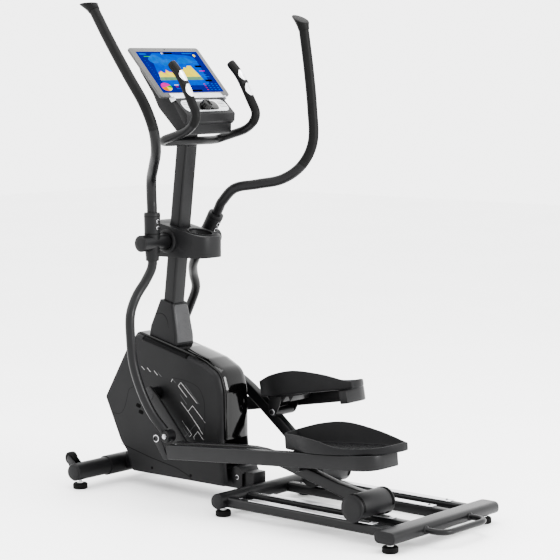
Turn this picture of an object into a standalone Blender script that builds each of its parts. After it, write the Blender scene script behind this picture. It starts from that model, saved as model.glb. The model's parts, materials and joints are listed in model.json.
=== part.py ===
"""Elliptical trainer, front driven, in separate pieces at rest. Metres, +Z up, +X rear, left is -Y."""

from math import acos, atan2, cos, degrees, hypot, pi, radians, sin, tan

import bmesh
import bpy
from mathutils import Matrix, Vector

# ---------------------------------------------------------------- sizes
X_MID = 0.7038  # shifts the front stabiliser's axis so that the box is centred on X
FIT = 0.0003  # gap between pieces that touch
RUN = 0.0006  # radial gap of a running fit

# frame
FRONT_STAB_R = 0.0300
FRONT_COLLAR_R = 0.0340
FRONT_STAB_HALF = 0.2490
FRONT_COLLAR_HALF = 0.0950
FRONT_STAB_Z = 0.0598
MID_STAB_X = 0.6496
MID_STAB_R = 0.0252
MID_STAB_HALF = 0.2410
MID_STAB_Z = 0.0509
REAR_STAB_X = 1.3472
REAR_STAB_HALF = 0.2770
REAR_STAB_Z = 0.0491
REAR_STAB_DEEP = 0.0760
REAR_STAB_TALL = 0.0380
RAIL_OUTER_Y = 0.1994
RAIL_INNER_Y = 0.1036
RAIL_WIDE = 0.0380
RAIL_TALL = 0.0340
RAIL_Z = 0.0470
TRACK_WIDE = 0.0278
TRACK_THICK = 0.0024
TRACK_X0 = 0.7590
TRACK_X1 = 1.2573
HANDLE_R = 0.0095
HANDLE_HALF = 0.1150
HANDLE_REACH = 0.0680
FOOT_R = 0.0250
FOOT_TALL = 0.0200
FOOT_STUD_R = 0.0060
FOOT_INSET = 0.0320
BEAM_HALF = 0.0300
BEAM_Z0 = 0.0450
BEAM_Z1 = 0.1050

# mast
MAST_LEAN = 7.0
MAST_DEEP = 0.0480
MAST_WIDE = 0.0580
MAST_WALL = 0.0025
MAST_TOP_Z = 1.2950

# swing arm pivot
PIVOT_X = 0.2687
PIVOT_Z = 0.8537
AXLE_R = 0.0125
AXLE_HALF = 0.1780
JOINT_Y0 = 0.0680
JOINT_Y1 = 0.1870
JOINT_R = 0.0275
JOINT_MID_Y = 0.1300
SLEEVE_TOP_R = 0.0262
SLEEVE_FOOT_R = 0.0215
SLEEVE_TOP = 0.1000
SLEEVE_FOOT = 0.0600
UPPER_TUBE_R = 0.0172
LOWER_TUBE_R = 0.0158
SWING_LENGTH = 0.6408

# crank and roller arms
CRANK_X = 0.2356
CRANK_Z = 0.3370
CRANK_R = 0.2215
CRANK_ANGLE = -45.4
ROLLER_REACH = 0.8047
ROLLER_Z = 0.1065
HINGE_ALONG = 0.5496
HINGE_RISE = 0.0661
PEDAL_REACH = 0.5661
ARM_REAR_TURN = -8.83
ARM_FRONT_TURN = 10.27
ARM_HALF_TALL = 0.0190
ARM_Y0 = 0.1230
ARM_Y1 = 0.1520
CRANK_ARM_Y0 = 0.1065
CRANK_ARM_Y1 = 0.1190
CRANK_ARM_HALF = 0.0210
CRANK_AXLE_R = 0.0100
CRANK_BOSS_R = 0.0220
PIN_R = 0.0120
PIN_FACE_Y = 0.1222
HINGE_SLEEVE_R = 0.0150
HINGE_PIN_R = 0.0060
HINGE_Y0 = 0.1052
HINGE_Y1 = 0.1995

# rollers
WHEEL_R = 0.0395
WHEEL_WIDE = 0.0240
WHEEL_AXLE_R = 0.0080
COVER_R = 0.0425
COVER_WALL = 0.0022
COVER_Y0 = 0.0700
COVER_Y1 = 0.2320

# pedal arms and pedals
TUBE_TURN = 7.52
TUBE_DROP = 0.0442
TUBE_HALF_TALL = 0.0235
TUBE_Y0 = 0.2050
TUBE_Y1 = 0.2350
TUBE_FRONT = 0.0410
TUBE_REAR = 0.8876
TUBE_END_Y = 0.1000
TUBE_BEND = 0.0600
CLEVIS_PLATE = 0.0050
CHEEK = 0.0042
PEDAL_LENGTH = 0.4150
PEDAL_FRONT = 0.5080
PEDAL_INNER_Y = 0.0850
PEDAL_OUTER_Y = 0.2450
PEDAL_FLOOR = 0.0120
PEDAL_RIM = 0.0050

# housing
HOUSE_HALF = 0.0725
HOUSE_SEAM = 0.0550
HOUSE_WALL = 0.0030
TOP_COVER_LIP = 0.0070

# console
TABLET_HALF = 0.1687
TABLET_TALL = 0.2200
TABLET_THICK = 0.0090
TABLET_FOOT_X = 0.3521
TABLET_FOOT_Z = 1.3376
TABLET_TURN = 46.8
KNOB_R = 0.0200
BAR_R = 0.0148

SEGS = 24


# ---------------------------------------------------------------- helpers
def clear_scene():
    for obj in list(bpy.data.objects):
        bpy.data.objects.remove(obj, do_unlink=True)


def make_collection(name, hidden=False):
    coll = bpy.data.collections.new(name)
    bpy.context.scene.collection.children.link(coll)
    coll.hide_render = hidden
    return coll


def make_material(name, colour, roughness, metallic=0.0):
    mat = bpy.data.materials.new(name)
    mat.use_nodes = True
    shader = mat.node_tree.nodes["Principled BSDF"]
    shader.inputs["Base Color"].default_value = (*colour, 1.0)
    shader.inputs["Roughness"].default_value = roughness
    shader.inputs["Metallic"].default_value = metallic
    return mat


def place(name, bm, material, origin=(0.0, 0.0, 0.0)):
    """Turns a bmesh in machine coordinates into an object whose origin is the given point."""
    origin = Vector(origin)
    bmesh.ops.recalc_face_normals(bm, faces=bm.faces)
    bmesh.ops.translate(bm, verts=bm.verts, vec=-origin)
    mesh = bpy.data.meshes.new(name)
    bm.to_mesh(mesh)
    bm.free()
    obj = bpy.data.objects.new(name, mesh)
    obj.location = origin - Vector((X_MID, 0.0, 0.0))
    if material is None:
        CUTTERS.objects.link(obj)
        obj.hide_render = True
        obj.display_type = "WIRE"
    else:
        BODY.objects.link(obj)
        mesh.materials.append(material)
    return obj


def prism(bm, points, low, high, plane="XZ", frame=None):
    """Adds a closed prism: an outline in a plane, drawn out along the third axis."""
    def spot(a, b, c):
        if plane == "XZ":
            return Vector((a, c, b))
        return Vector((a, b, c))

    bottom = [bm.verts.new(spot(a, b, low)) for a, b in points]
    top = [bm.verts.new(spot(a, b, high)) for a, b in points]
    count = len(points)
    bm.faces.new(bottom)
    bm.faces.new(list(reversed(top)))
    for i in range(count):
        j = (i + 1) % count
        bm.faces.new((bottom[i], top[i], top[j], bottom[j]))
    if frame is not None:
        bmesh.ops.transform(bm, matrix=frame, verts=bottom + top)
    return bottom + top


def rod(bm, x, z, radius, y0, y1, segs=SEGS, radius_end=None):
    """Adds a cylinder or a cone along Y."""
    turn = Matrix.Rotation(-pi / 2, 4, "X")
    mid = Matrix.Translation((x, (y0 + y1) / 2, z))
    end = radius if radius_end is None else radius_end
    return bmesh.ops.create_cone(
        bm, cap_ends=True, cap_tris=False, segments=segs, radius1=radius, radius2=end,
        depth=abs(y1 - y0), matrix=mid @ turn,
    )["verts"]


def post(bm, x, y, radius, z0, z1, segs=SEGS, radius_end=None):
    """Adds a cylinder or a cone along Z."""
    end = radius if radius_end is None else radius_end
    return bmesh.ops.create_cone(
        bm, cap_ends=True, cap_tris=False, segments=segs, radius1=radius, radius2=end,
        depth=z1 - z0, matrix=Matrix.Translation((x, y, (z0 + z1) / 2)),
    )["verts"]


def lathe_y(bm, x, z, profile, segs=SEGS):
    """Adds a closed solid turned about an axis along Y. The profile lists radius and place along Y."""
    rings = []
    for radius, y in profile:
        ring = []
        for k in range(segs):
            a = 2 * pi * k / segs
            ring.append(bm.verts.new((x + radius * cos(a), y, z + radius * sin(a))))
        rings.append(ring)
    for one, two in zip(rings, rings[1:]):
        for k in range(segs):
            j = (k + 1) % segs
            bm.faces.new((one[k], one[j], two[j], two[k]))
    bm.faces.new(rings[0])
    bm.faces.new(list(reversed(rings[-1])))


def ring_y(bm, x, z, outer, inner, y0, y1, segs=SEGS):
    """Adds a washer or tube along Y with an open bore."""
    loops = []
    for radius, y in ((outer, y0), (outer, y1), (inner, y1), (inner, y0)):
        loop = []
        for k in range(segs):
            a = 2 * pi * k / segs
            loop.append(bm.verts.new((x + radius * cos(a), y, z + radius * sin(a))))
        loops.append(loop)
    for i in range(4):
        one, two = loops[i], loops[(i + 1) % 4]
        for k in range(segs):
            j = (k + 1) % segs
            bm.faces.new((one[k], one[j], two[j], two[k]))


def combine(obj, other, kind):
    mod = obj.modifiers.new(kind.title() + "_" + other.name, "BOOLEAN")
    mod.operation = kind
    mod.solver = "EXACT"
    mod.object = other
    return mod


def cutter(name, fill):
    bm = bmesh.new()
    fill(bm)
    return place("cut_" + name, bm, None)


def solid(name, material, fill, origin=(0.0, 0.0, 0.0), adds=(), cuts=()):
    """One piece: its base shape, the shapes welded to it and the shapes cut from it."""
    bm = bmesh.new()
    fill(bm)
    obj = place(name, bm, material, origin)
    for i, shape in enumerate(adds):
        combine(obj, cutter(f"{name}_add{i}", shape), "UNION")
    for i, shape in enumerate(cuts):
        combine(obj, cutter(f"{name}_cut{i}", shape), "DIFFERENCE")
    return obj


def bevel(obj, width, segments=1, angle=40):
    mod = obj.modifiers.new("Bevel", "BEVEL")
    mod.width = width
    mod.segments = segments
    mod.limit_method = "ANGLE"
    mod.angle_limit = radians(angle)
    return mod


def sweep(bm, points, radius, segs=12):
    """Adds a round bar bent through the given points, closed at both ends."""
    pts = [Vector(p) for p in points]
    count = len(pts)
    side = None
    rings = []
    for i, here in enumerate(pts):
        heading = (pts[min(i + 1, count - 1)] - pts[max(i - 1, 0)]).normalized()
        if side is None:
            side = heading.orthogonal().normalized()
        side = (side - heading * side.dot(heading)).normalized()
        other = heading.cross(side)
        ring = []
        for k in range(segs):
            a = 2 * pi * k / segs
            ring.append(bm.verts.new(here + (side * cos(a) + other * sin(a)) * radius))
        rings.append(ring)
    for one, two in zip(rings, rings[1:]):
        for k in range(segs):
            j = (k + 1) % segs
            bm.faces.new((one[k], one[j], two[j], two[k]))
    bm.faces.new(rings[0])
    bm.faces.new(list(reversed(rings[-1])))


def through(points, steps):
    """A smooth line through the points, for a bent tube."""
    pts = [Vector(p) for p in points]
    pts = [2 * pts[0] - pts[1]] + pts + [2 * pts[-1] - pts[-2]]
    out = []
    for i in range(1, len(pts) - 2):
        a, b, c, d = pts[i - 1 : i + 3]
        for k in range(steps):
            t = k / steps
            out.append(
                0.5 * (2 * b + (c - a) * t + (2 * a - 5 * b + 4 * c - d) * t * t
                       + (3 * b - a - 3 * c + d) * t * t * t)
            )
    out.append(pts[-2])
    return out


def rounded(points, radii, steps=4):
    """An outline with each corner rounded by its own radius."""
    out = []
    count = len(points)
    for i, (x, y) in enumerate(points):
        radius = radii[i] if hasattr(radii, "__len__") else radii
        here = Vector((x, y))
        before = Vector(points[i - 1]) - here
        after = Vector(points[(i + 1) % count]) - here
        if radius <= 0:
            out.append((x, y))
            continue
        turn = before.angle(after)
        reach = min(radius / tan(turn / 2), 0.49 * before.length, 0.49 * after.length)
        one = here + before.normalized() * reach
        two = here + after.normalized() * reach
        for k in range(steps + 1):
            t = k / steps
            spot = one * (1 - t) ** 2 + here * 2 * t * (1 - t) + two * t * t
            out.append((spot.x, spot.y))
    return out


def box_outline(x0, x1, z0, z1, radius=0.0, steps=3):
    corners = [(x0, z0), (x1, z0), (x1, z1), (x0, z1)]
    return rounded(corners, radius, steps) if radius else corners


# ---------------------------------------------------------------- linkage
def meet(a, ra, b, rb, upper):
    """Where two circles cross, in the XZ plane; of the two points the one with the lower or higher Z."""
    gap = hypot(b[0] - a[0], b[1] - a[1])
    along = (ra * ra - rb * rb + gap * gap) / (2 * gap)
    off = (ra * ra - along * along) ** 0.5
    ux, uz = (b[0] - a[0]) / gap, (b[1] - a[1]) / gap
    spots = [(a[0] + ux * along - k * uz * off, a[1] + uz * along + k * ux * off) for k in (1, -1)]
    return max(spots, key=lambda p: p[1]) if upper else min(spots, key=lambda p: p[1])


def stance(half_turn):
    """All pivots of one side, with the crank at its rest angle or half a turn on."""
    a = radians(CRANK_ANGLE + (180 if half_turn else 0))
    pin = (CRANK_X + CRANK_R * cos(a), CRANK_Z + CRANK_R * sin(a))
    reach = (ROLLER_REACH**2 - (pin[1] - ROLLER_Z) ** 2) ** 0.5
    roller = (pin[0] + reach, ROLLER_Z)
    arm = atan2(roller[1] - pin[1], roller[0] - pin[0])
    ux, uz = cos(arm), sin(arm)
    hinge = (pin[0] + ux * HINGE_ALONG - uz * HINGE_RISE, pin[1] + uz * HINGE_ALONG + ux * HINGE_RISE)
    end = meet((PIVOT_X, PIVOT_Z), SWING_LENGTH, hinge, PEDAL_REACH, False)
    swing = atan2(end[0] - PIVOT_X, PIVOT_Z - end[1])
    pedal = atan2(hinge[1] - end[1], hinge[0] - end[0])
    return {"crank": a, "pin": pin, "roller": roller, "arm": arm, "hinge": hinge, "end": end,
            "swing": swing, "pedal": pedal}


LEFT = stance(False)
RIGHT = stance(True)
SIDES = (("left", -1, LEFT), ("right", 1, RIGHT))


def turned(point, angle):
    """A point of an XZ outline turned by an angle counted from +X towards +Z."""
    return (point[0] * cos(angle) - point[1] * sin(angle), point[0] * sin(angle) + point[1] * cos(angle))


def about(centre, points, angle=0.0):
    moved = [turned(p, angle) for p in points]
    return [(centre[0] + p[0], centre[1] + p[1]) for p in moved]


def circle(centre, radius, segs=SEGS):
    return [(centre[0] + radius * cos(2 * pi * k / segs), centre[1] + radius * sin(2 * pi * k / segs))
            for k in range(segs)]


# ---------------------------------------------------------------- start
clear_scene()
BODY = make_collection("elliptical_trainer")
CUTTERS = make_collection("cutters", hidden=True)
STEEL_BLACK = make_material("satin_black_steel", (0.035, 0.035, 0.037), 0.45)
PLASTIC = make_material("satin_black_plastic", (0.030, 0.030, 0.032), 0.5)
GLOSS = make_material("gloss_black_plastic", (0.006, 0.006, 0.007), 0.12)
RUBBER = make_material("black_rubber", (0.012, 0.012, 0.012), 0.85)
ALUMINIUM = make_material("brushed_aluminium", (0.75, 0.75, 0.76), 0.35, 1.0)
BRIGHT = make_material("bright_steel", (0.6, 0.6, 0.62), 0.25, 1.0)
SILVER = make_material("silver_plastic", (0.62, 0.63, 0.64), 0.35, 0.6)
GREY = make_material("grey_bezel", (0.25, 0.25, 0.25), 0.45)


# ---------------------------------------------------------------- frame
def mast_x(z):
    return PIVOT_X + (z - PIVOT_Z) * tan(radians(MAST_LEAN))


TW_X = -0.0330
TW_Z = 0.1020
TW_R = 0.0220
TW_Y = 0.2250


def front_profile():
    rim = 0.004
    half, mid = FRONT_STAB_HALF, FRONT_COLLAR_HALF
    r, c = FRONT_STAB_R, FRONT_COLLAR_R
    return [(r - rim, -half), (r, -half + rim), (r, -mid), (c, -mid), (c, mid), (r, mid),
            (r, half - rim), (r - rim, half)]


def wheel_cheek(bm, mid):
    prism(
        bm,
        [(TW_X - 0.009, TW_Z - 0.004), (TW_X - 0.004, TW_Z + 0.009), (TW_X + 0.008, TW_Z + 0.008),
         (0.016, 0.078), (0.0, 0.0700), (-0.022, 0.0600)],
        mid - 0.0015, mid + 0.0015,
    )


solid(
    "front_stabiliser", STEEL_BLACK,
    lambda bm: lathe_y(bm, 0.0, FRONT_STAB_Z, front_profile(), 28),
    adds=(
        lambda bm: wheel_cheek(bm, -TW_Y - 0.0135),
        lambda bm: wheel_cheek(bm, -TW_Y + 0.0135),
        lambda bm: wheel_cheek(bm, TW_Y - 0.0135),
        lambda bm: wheel_cheek(bm, TW_Y + 0.0135),
        lambda bm: rod(bm, TW_X, TW_Z, 0.0040, -TW_Y - 0.0145, -TW_Y + 0.0145, 16),
        lambda bm: rod(bm, TW_X, TW_Z, 0.0040, TW_Y - 0.0145, TW_Y + 0.0145, 16),
    ),
)


def mid_profile():
    rim = 0.003
    half, r = MID_STAB_HALF, MID_STAB_R
    return [(r - rim, -half), (r, -half + rim), (r, half - rim), (r - rim, half)]


solid("mid_stabiliser", STEEL_BLACK, lambda bm: lathe_y(bm, MID_STAB_X, MID_STAB_Z, mid_profile(), 24))

REAR_SECTION = box_outline(
    REAR_STAB_X - REAR_STAB_DEEP / 2, REAR_STAB_X + REAR_STAB_DEEP / 2,
    REAR_STAB_Z - REAR_STAB_TALL / 2, REAR_STAB_Z + REAR_STAB_TALL / 2, REAR_STAB_TALL * 0.48, 5,
)


def rear_handle_points():
    x0 = REAR_STAB_X
    x1 = REAR_STAB_X + REAR_STAB_DEEP / 2 + HANDLE_REACH
    half = HANDLE_HALF
    run = rounded([(x0, -half), (x1, -half), (x1, half), (x0, half)], [0, 0.045, 0.045, 0], 6)
    return [(x, y, REAR_STAB_Z) for x, y in run]


solid(
    "rear_stabiliser", STEEL_BLACK,
    lambda bm: prism(bm, REAR_SECTION, -REAR_STAB_HALF, REAR_STAB_HALF),
    adds=(lambda bm: sweep(bm, rear_handle_points(), HANDLE_R),),
)

RAIL_X1 = REAR_STAB_X - REAR_STAB_DEEP * 0.40
for side, sign, _ in SIDES:
    for row, y in (("outer", RAIL_OUTER_Y), ("inner", RAIL_INNER_Y)):
        section = box_outline(
            sign * y - RAIL_WIDE / 2, sign * y + RAIL_WIDE / 2,
            RAIL_Z - RAIL_TALL / 2, RAIL_Z + RAIL_TALL / 2, 0.013, 3,
        )
        lay = Matrix(((0, 0, 1, 0), (1, 0, 0, 0), (0, 1, 0, 0), (0, 0, 0, 1)))
        solid(
            f"rail_{side}_{row}", STEEL_BLACK,
            lambda bm, s=section, m=lay: prism(bm, s, MID_STAB_X, RAIL_X1, "XY", m),
            cuts=(
                lambda bm, k=sign * y: rod(
                    bm, MID_STAB_X, MID_STAB_Z, MID_STAB_R + FIT, k - RAIL_WIDE, k + RAIL_WIDE, 24
                ),
                lambda bm, k=sign * y: prism(
                    bm,
                    box_outline(
                        REAR_STAB_X - REAR_STAB_DEEP / 2 - FIT, REAR_STAB_X + REAR_STAB_DEEP / 2,
                        REAR_STAB_Z - REAR_STAB_TALL / 2 - FIT, REAR_STAB_Z + REAR_STAB_TALL / 2 + FIT,
                        REAR_STAB_TALL * 0.48, 5,
                    ),
                    k - RAIL_WIDE, k + RAIL_WIDE,
                ),
            ),
        )
        top = RAIL_Z + RAIL_TALL / 2 + FIT
        track = solid(
            f"track_{side}_{row}", ALUMINIUM,
            lambda bm, k=sign * y, z=top: prism(
                bm, box_outline(TRACK_X0, TRACK_X1, z, z + TRACK_THICK),
                k - TRACK_WIDE / 2, k + TRACK_WIDE / 2,
            ),
        )


STAND = (
    ("front", 0.0, FRONT_STAB_HALF - FOOT_INSET, FRONT_STAB_Z - FRONT_STAB_R),
    ("mid", MID_STAB_X, MID_STAB_HALF - FOOT_INSET, MID_STAB_Z - MID_STAB_R),
    ("rear", REAR_STAB_X, REAR_STAB_HALF - FOOT_INSET, REAR_STAB_Z - REAR_STAB_TALL / 2),
)
for row, x, y, under in STAND:
    for side, sign, _ in SIDES:
        solid(
            f"foot_{row}_{side}", RUBBER,
            lambda bm, px=x, py=sign * y: post(bm, px, py, FOOT_R, 0.0, FOOT_TALL),
            origin=(x, sign * y, 0.0),
            adds=(
                lambda bm, px=x, py=sign * y, z=under: post(
                    bm, px, py, FOOT_STUD_R, FOOT_TALL - 0.002, z - FIT, 12
                ),
            ),
        )

MAST_FOOT_Z = BEAM_Z1 + FIT


def mast_outline(grow=0.0, z0=MAST_FOOT_Z, z1=MAST_TOP_Z):
    half = MAST_DEEP / 2 / cos(radians(MAST_LEAN)) + grow
    low, high = mast_x(z0), mast_x(z1)
    return [(low - half, z0), (low + half, z0), (high + half, z1), (high - half, z1)]


BEARING_R = 0.0190
CLAMP_X = 0.3345
CLAMP_Z = 1.1890
solid(
    "mast", STEEL_BLACK,
    lambda bm: prism(bm, mast_outline(), -MAST_WIDE / 2, MAST_WIDE / 2),
    adds=(
        lambda bm: rod(bm, CRANK_X, CRANK_Z, BEARING_R, -0.0355, 0.0300),
        lambda bm: prism(
            bm, [(0.3150, CLAMP_Z - 0.020), (CLAMP_X, CLAMP_Z - 0.020), (CLAMP_X, CLAMP_Z + 0.020),
                 (0.3200, CLAMP_Z + 0.020)],
            -0.0200, 0.0200,
        ),
    ),
    cuts=(
        lambda bm: prism(
            bm, mast_outline(-MAST_WALL, MAST_FOOT_Z - 0.01, MAST_TOP_Z + 0.01),
            -MAST_WIDE / 2 + MAST_WALL, MAST_WIDE / 2 - MAST_WALL,
        ),
        lambda bm: rod(bm, PIVOT_X, PIVOT_Z, AXLE_R + FIT, -0.05, 0.05),
        lambda bm: rod(bm, CRANK_X, CRANK_Z, CRANK_AXLE_R + RUN, -0.05, 0.05),
        lambda bm: rod(bm, CLAMP_X, CLAMP_Z, BAR_R + 0.0006, -0.05, 0.05, 16),
    ),
)
solid("pivot_axle", BRIGHT, lambda bm: rod(bm, PIVOT_X, PIVOT_Z, AXLE_R, -AXLE_HALF, AXLE_HALF))

# ---------------------------------------------------------------- housing
HOUSE_CORNERS = [
    (-0.0190, 0.2980), (0.0860, 0.4740), (0.1300, 0.5310), (0.3360, 0.4840), (0.4370, 0.4580),
    (0.4990, 0.4270), (0.5165, 0.3700), (0.5185, 0.2120), (0.5300, 0.1000), (0.5355, 0.0540),
    (0.1080, 0.0520), (0.0830, 0.1170), (0.0530, 0.1500),
]
HOUSE_RADII = [0.014, 0.050, 0.018, 0.200, 0.060, 0.050, 0.080, 0.100, 0.100, 0.010, 0.010, 0.040, 0.050]
HOUSE = rounded(HOUSE_CORNERS, HOUSE_RADII, 5)


def inset(points, by):
    """The outline moved inwards (or outwards for a negative amount)."""
    count = len(points)
    area = sum(points[i][0] * points[(i + 1) % count][1] - points[(i + 1) % count][0] * points[i][1]
               for i in range(count))
    spin = 1 if area > 0 else -1
    out = []
    for i in range(count):
        before = Vector(points[i]) - Vector(points[i - 1])
        after = Vector(points[(i + 1) % count]) - Vector(points[i])
        if before.length < 1e-7 or after.length < 1e-7:
            continue
        n1 = Vector((-before.y, before.x)).normalized() * spin
        n2 = Vector((-after.y, after.x)).normalized() * spin
        mid = (n1 + n2).normalized()
        reach = by / max(0.4, mid.dot(n1))
        spot = Vector(points[i]) + mid * reach
        out.append((spot.x, spot.y))
    return out


def axle_hole(bm, x, z, radius, sign):
    rod(bm, x, z, radius, sign * (HOUSE_SEAM + 0.008), sign * (HOUSE_HALF + 0.01))


for side, sign, _ in SIDES:
    lo, hi = sorted((sign * (HOUSE_SEAM + FIT), sign * HOUSE_HALF))
    in_lo, in_hi = sorted((sign * (HOUSE_SEAM - 0.01), sign * (HOUSE_HALF - HOUSE_WALL)))
    solid(
        f"housing_{side}", PLASTIC,
        lambda bm, a=lo, b=hi: prism(bm, HOUSE, a, b),
        cuts=(
            lambda bm, a=in_lo, b=in_hi: prism(bm, inset(HOUSE, HOUSE_WALL), a, b),
            lambda bm, s=sign: axle_hole(bm, CRANK_X, CRANK_Z, 0.0130, s),
        ),
    )


def cover_band():
    """The top and rear band between the side shells: the outline's upper run, thickened inwards."""
    outer = inset(HOUSE, -TOP_COVER_LIP)
    inner = inset(HOUSE, HOUSE_WALL)
    keep = [i for i, (x, z) in enumerate(outer) if z > 0.16 and (x > 0.30 or z > 0.44)]
    run = [outer[i] for i in keep]
    back = [inner[i] for i in reversed(keep)]
    return run + back


solid(
    "housing_cover", GLOSS,
    lambda bm: prism(bm, cover_band(), -HOUSE_SEAM, HOUSE_SEAM),
    cuts=(
        lambda bm: prism(
            bm, mast_outline(0.0015, 0.40, 0.62), -MAST_WIDE / 2 - 0.0015, MAST_WIDE / 2 + 0.0015
        ),
    ),
)


def top_line(x):
    """Height of the top band's outer face at a place along X."""
    run = [p for p in inset(HOUSE, -TOP_COVER_LIP) if p[1] > 0.3]
    for (xa, za), (xb, zb) in zip(run, run[1:]):
        if xa <= x <= xb:
            return za + (zb - za) * (x - xa) / max(xb - xa, 1e-9)
    return run[-1][1]


def mast_cover(bm):
    low = [(0.168, -0.0455), (0.292, -0.0455), (0.292, 0.0455), (0.168, 0.0455)]
    high = [(0.2115, -0.0385), (0.2710, -0.0385), (0.2710, 0.0385), (0.2115, 0.0385)]
    levels = []
    for points, z_at in ((low, lambda x: top_line(x) + FIT), (high, lambda x: 0.650 - (x - 0.218) * 0.22)):
        ring = [bm.verts.new((x, y, z_at(x))) for x, y in rounded(points, 0.012, 3)]
        levels.append(ring)
    count = len(levels[0])
    for i in range(count):
        j = (i + 1) % count
        bm.faces.new((levels[0][i], levels[0][j], levels[1][j], levels[1][i]))
    bm.faces.new(levels[0])
    bm.faces.new(list(reversed(levels[1])))


solid(
    "mast_cover", PLASTIC, mast_cover,
    cuts=(
        lambda bm: prism(bm, mast_outline(FIT, 0.40, 0.75), -MAST_WIDE / 2 - FIT, MAST_WIDE / 2 + FIT),
    ),
)

# ---------------------------------------------------------------- pivot cover with its cup well


def pivot_cover(bm):
    plan = rounded([(0.196, -0.060), (0.430, -0.060), (0.430, 0.060), (0.196, 0.060)],
                   [0.035, 0.052, 0.052, 0.035], 6)
    lower = [bm.verts.new((x, y, 0.7995 + 0.03 * max(0.0, x - 0.30))) for x, y in plan]
    upper = [bm.verts.new((x, y, 0.9200 - 0.205 * (x - 0.196))) for x, y in plan]
    count = len(plan)
    for i in range(count):
        j = (i + 1) % count
        bm.faces.new((lower[i], lower[j], upper[j], upper[i]))
    bm.faces.new(lower)
    bm.faces.new(list(reversed(upper)))


solid(
    "pivot_cover", PLASTIC, pivot_cover,
    cuts=(
        lambda bm: prism(bm, mast_outline(FIT, 0.70, 1.0), -MAST_WIDE / 2 - FIT, MAST_WIDE / 2 + FIT),
        lambda bm: rod(bm, PIVOT_X, PIVOT_Z, AXLE_R + FIT, -0.08, 0.08),
        lambda bm: post(bm, 0.3660, 0.0, 0.0440, 0.8200, 0.95, 32),
    ),
)

# ---------------------------------------------------------------- drive inside the housing
PULLEY_R = 0.1200
SMALL_R = 0.0260
PULLEY_Y0 = 0.0400
PULLEY_Y1 = 0.0520
FLY_X = 0.4120
FLY_Z = 0.2450
FLY_R = 0.0850
AXLE_END = CRANK_ARM_Y0 - FIT
solid(
    "crank_axle", BRIGHT,
    lambda bm: rod(bm, CRANK_X, CRANK_Z, CRANK_AXLE_R, -AXLE_END, AXLE_END),
    origin=(CRANK_X, 0.0, CRANK_Z),
)
solid(
    "drive_pulley", ALUMINIUM,
    lambda bm: ring_y(bm, CRANK_X, CRANK_Z, PULLEY_R, CRANK_AXLE_R + FIT, PULLEY_Y0, PULLEY_Y1, 40),
    origin=(CRANK_X, 0.0, CRANK_Z),
)
solid(
    "flywheel", STEEL_BLACK,
    lambda bm: ring_y(bm, FLY_X, FLY_Z, FLY_R, 0.0086, -0.0090, 0.0090, 36),
    origin=(FLY_X, 0.0, FLY_Z),
    adds=(
        lambda bm: ring_y(bm, FLY_X, FLY_Z, 0.0150, 0.0086, 0.0080, PULLEY_Y1 - 0.0010, 24),
        lambda bm: ring_y(bm, FLY_X, FLY_Z, SMALL_R, 0.0086, PULLEY_Y0, PULLEY_Y1, 24),
    ),
)


BEAM_X0 = FRONT_COLLAR_R + FIT
BEAM_X1 = MID_STAB_X - MID_STAB_R - FIT
solid(
    "base_beam", STEEL_BLACK,
    lambda bm: prism(bm, box_outline(BEAM_X0, BEAM_X1, BEAM_Z0, BEAM_Z1), -BEAM_HALF, BEAM_HALF),
    adds=(
        lambda bm: prism(
            bm, box_outline(FLY_X - 0.022, FLY_X + 0.022, BEAM_Z1 - 0.01, FLY_Z + 0.020, 0.006),
            -0.0290, -0.0240,
        ),
        lambda bm: rod(bm, FLY_X, FLY_Z, 0.0080, -0.0270, PULLEY_Y1 + 0.004),
    ),
)


def belt_outline(grow):
    """The outer tangent loop round the two pulleys."""
    dx, dz = FLY_X - CRANK_X, FLY_Z - CRANK_Z
    gap = hypot(dx, dz)
    heading = atan2(dz, dx)
    big, small = PULLEY_R + grow, SMALL_R + grow
    spread = acos((PULLEY_R - SMALL_R) / gap)
    points = []
    for k in range(25):
        a = heading + spread + (2 * pi - 2 * spread) * k / 24
        points.append((CRANK_X + big * cos(a), CRANK_Z + big * sin(a)))
    for k in range(13):
        a = heading - spread + 2 * spread * k / 12
        points.append((FLY_X + small * cos(a), FLY_Z + small * sin(a)))
    return points


solid(
    "drive_belt", RUBBER,
    lambda bm: prism(bm, belt_outline(0.0038), PULLEY_Y0 + 0.001, PULLEY_Y1 - 0.001),
    cuts=(lambda bm: prism(bm, belt_outline(0.0012), PULLEY_Y0 - 0.01, PULLEY_Y1 + 0.01),),
)

# ---------------------------------------------------------------- transport wheels
for side, sign, _ in SIDES:
    mid = sign * TW_Y
    solid(
        f"transport_wheel_{side}", RUBBER,
        lambda bm, m=mid: ring_y(bm, TW_X, TW_Z, TW_R, 0.0046, m - 0.0100, m + 0.0100),
        origin=(TW_X, mid, TW_Z),
    )

# ---------------------------------------------------------------- console
CONSOLE_TURN = radians(TABLET_TURN)


def console_point(up, out):
    """A point of the console's side view: a distance up the tablet's face and out from it."""
    return (TABLET_FOOT_X - up * cos(CONSOLE_TURN) + out * sin(CONSOLE_TURN),
            TABLET_FOOT_Z + up * sin(CONSOLE_TURN) + out * cos(CONSOLE_TURN))


def side_view(points):
    return [console_point(up, out) for up, out in points]


TABLET = side_view([(0.0, 0.0), (TABLET_TALL, 0.0), (TABLET_TALL, -TABLET_THICK), (0.0, -TABLET_THICK)])
tablet = solid(
    "tablet", GREY, lambda bm: prism(bm, TABLET, -TABLET_HALF, TABLET_HALF),
    origin=(TABLET_FOOT_X, 0.0, TABLET_FOOT_Z),
)
bevel(tablet, 0.003, 2, 60)

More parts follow.
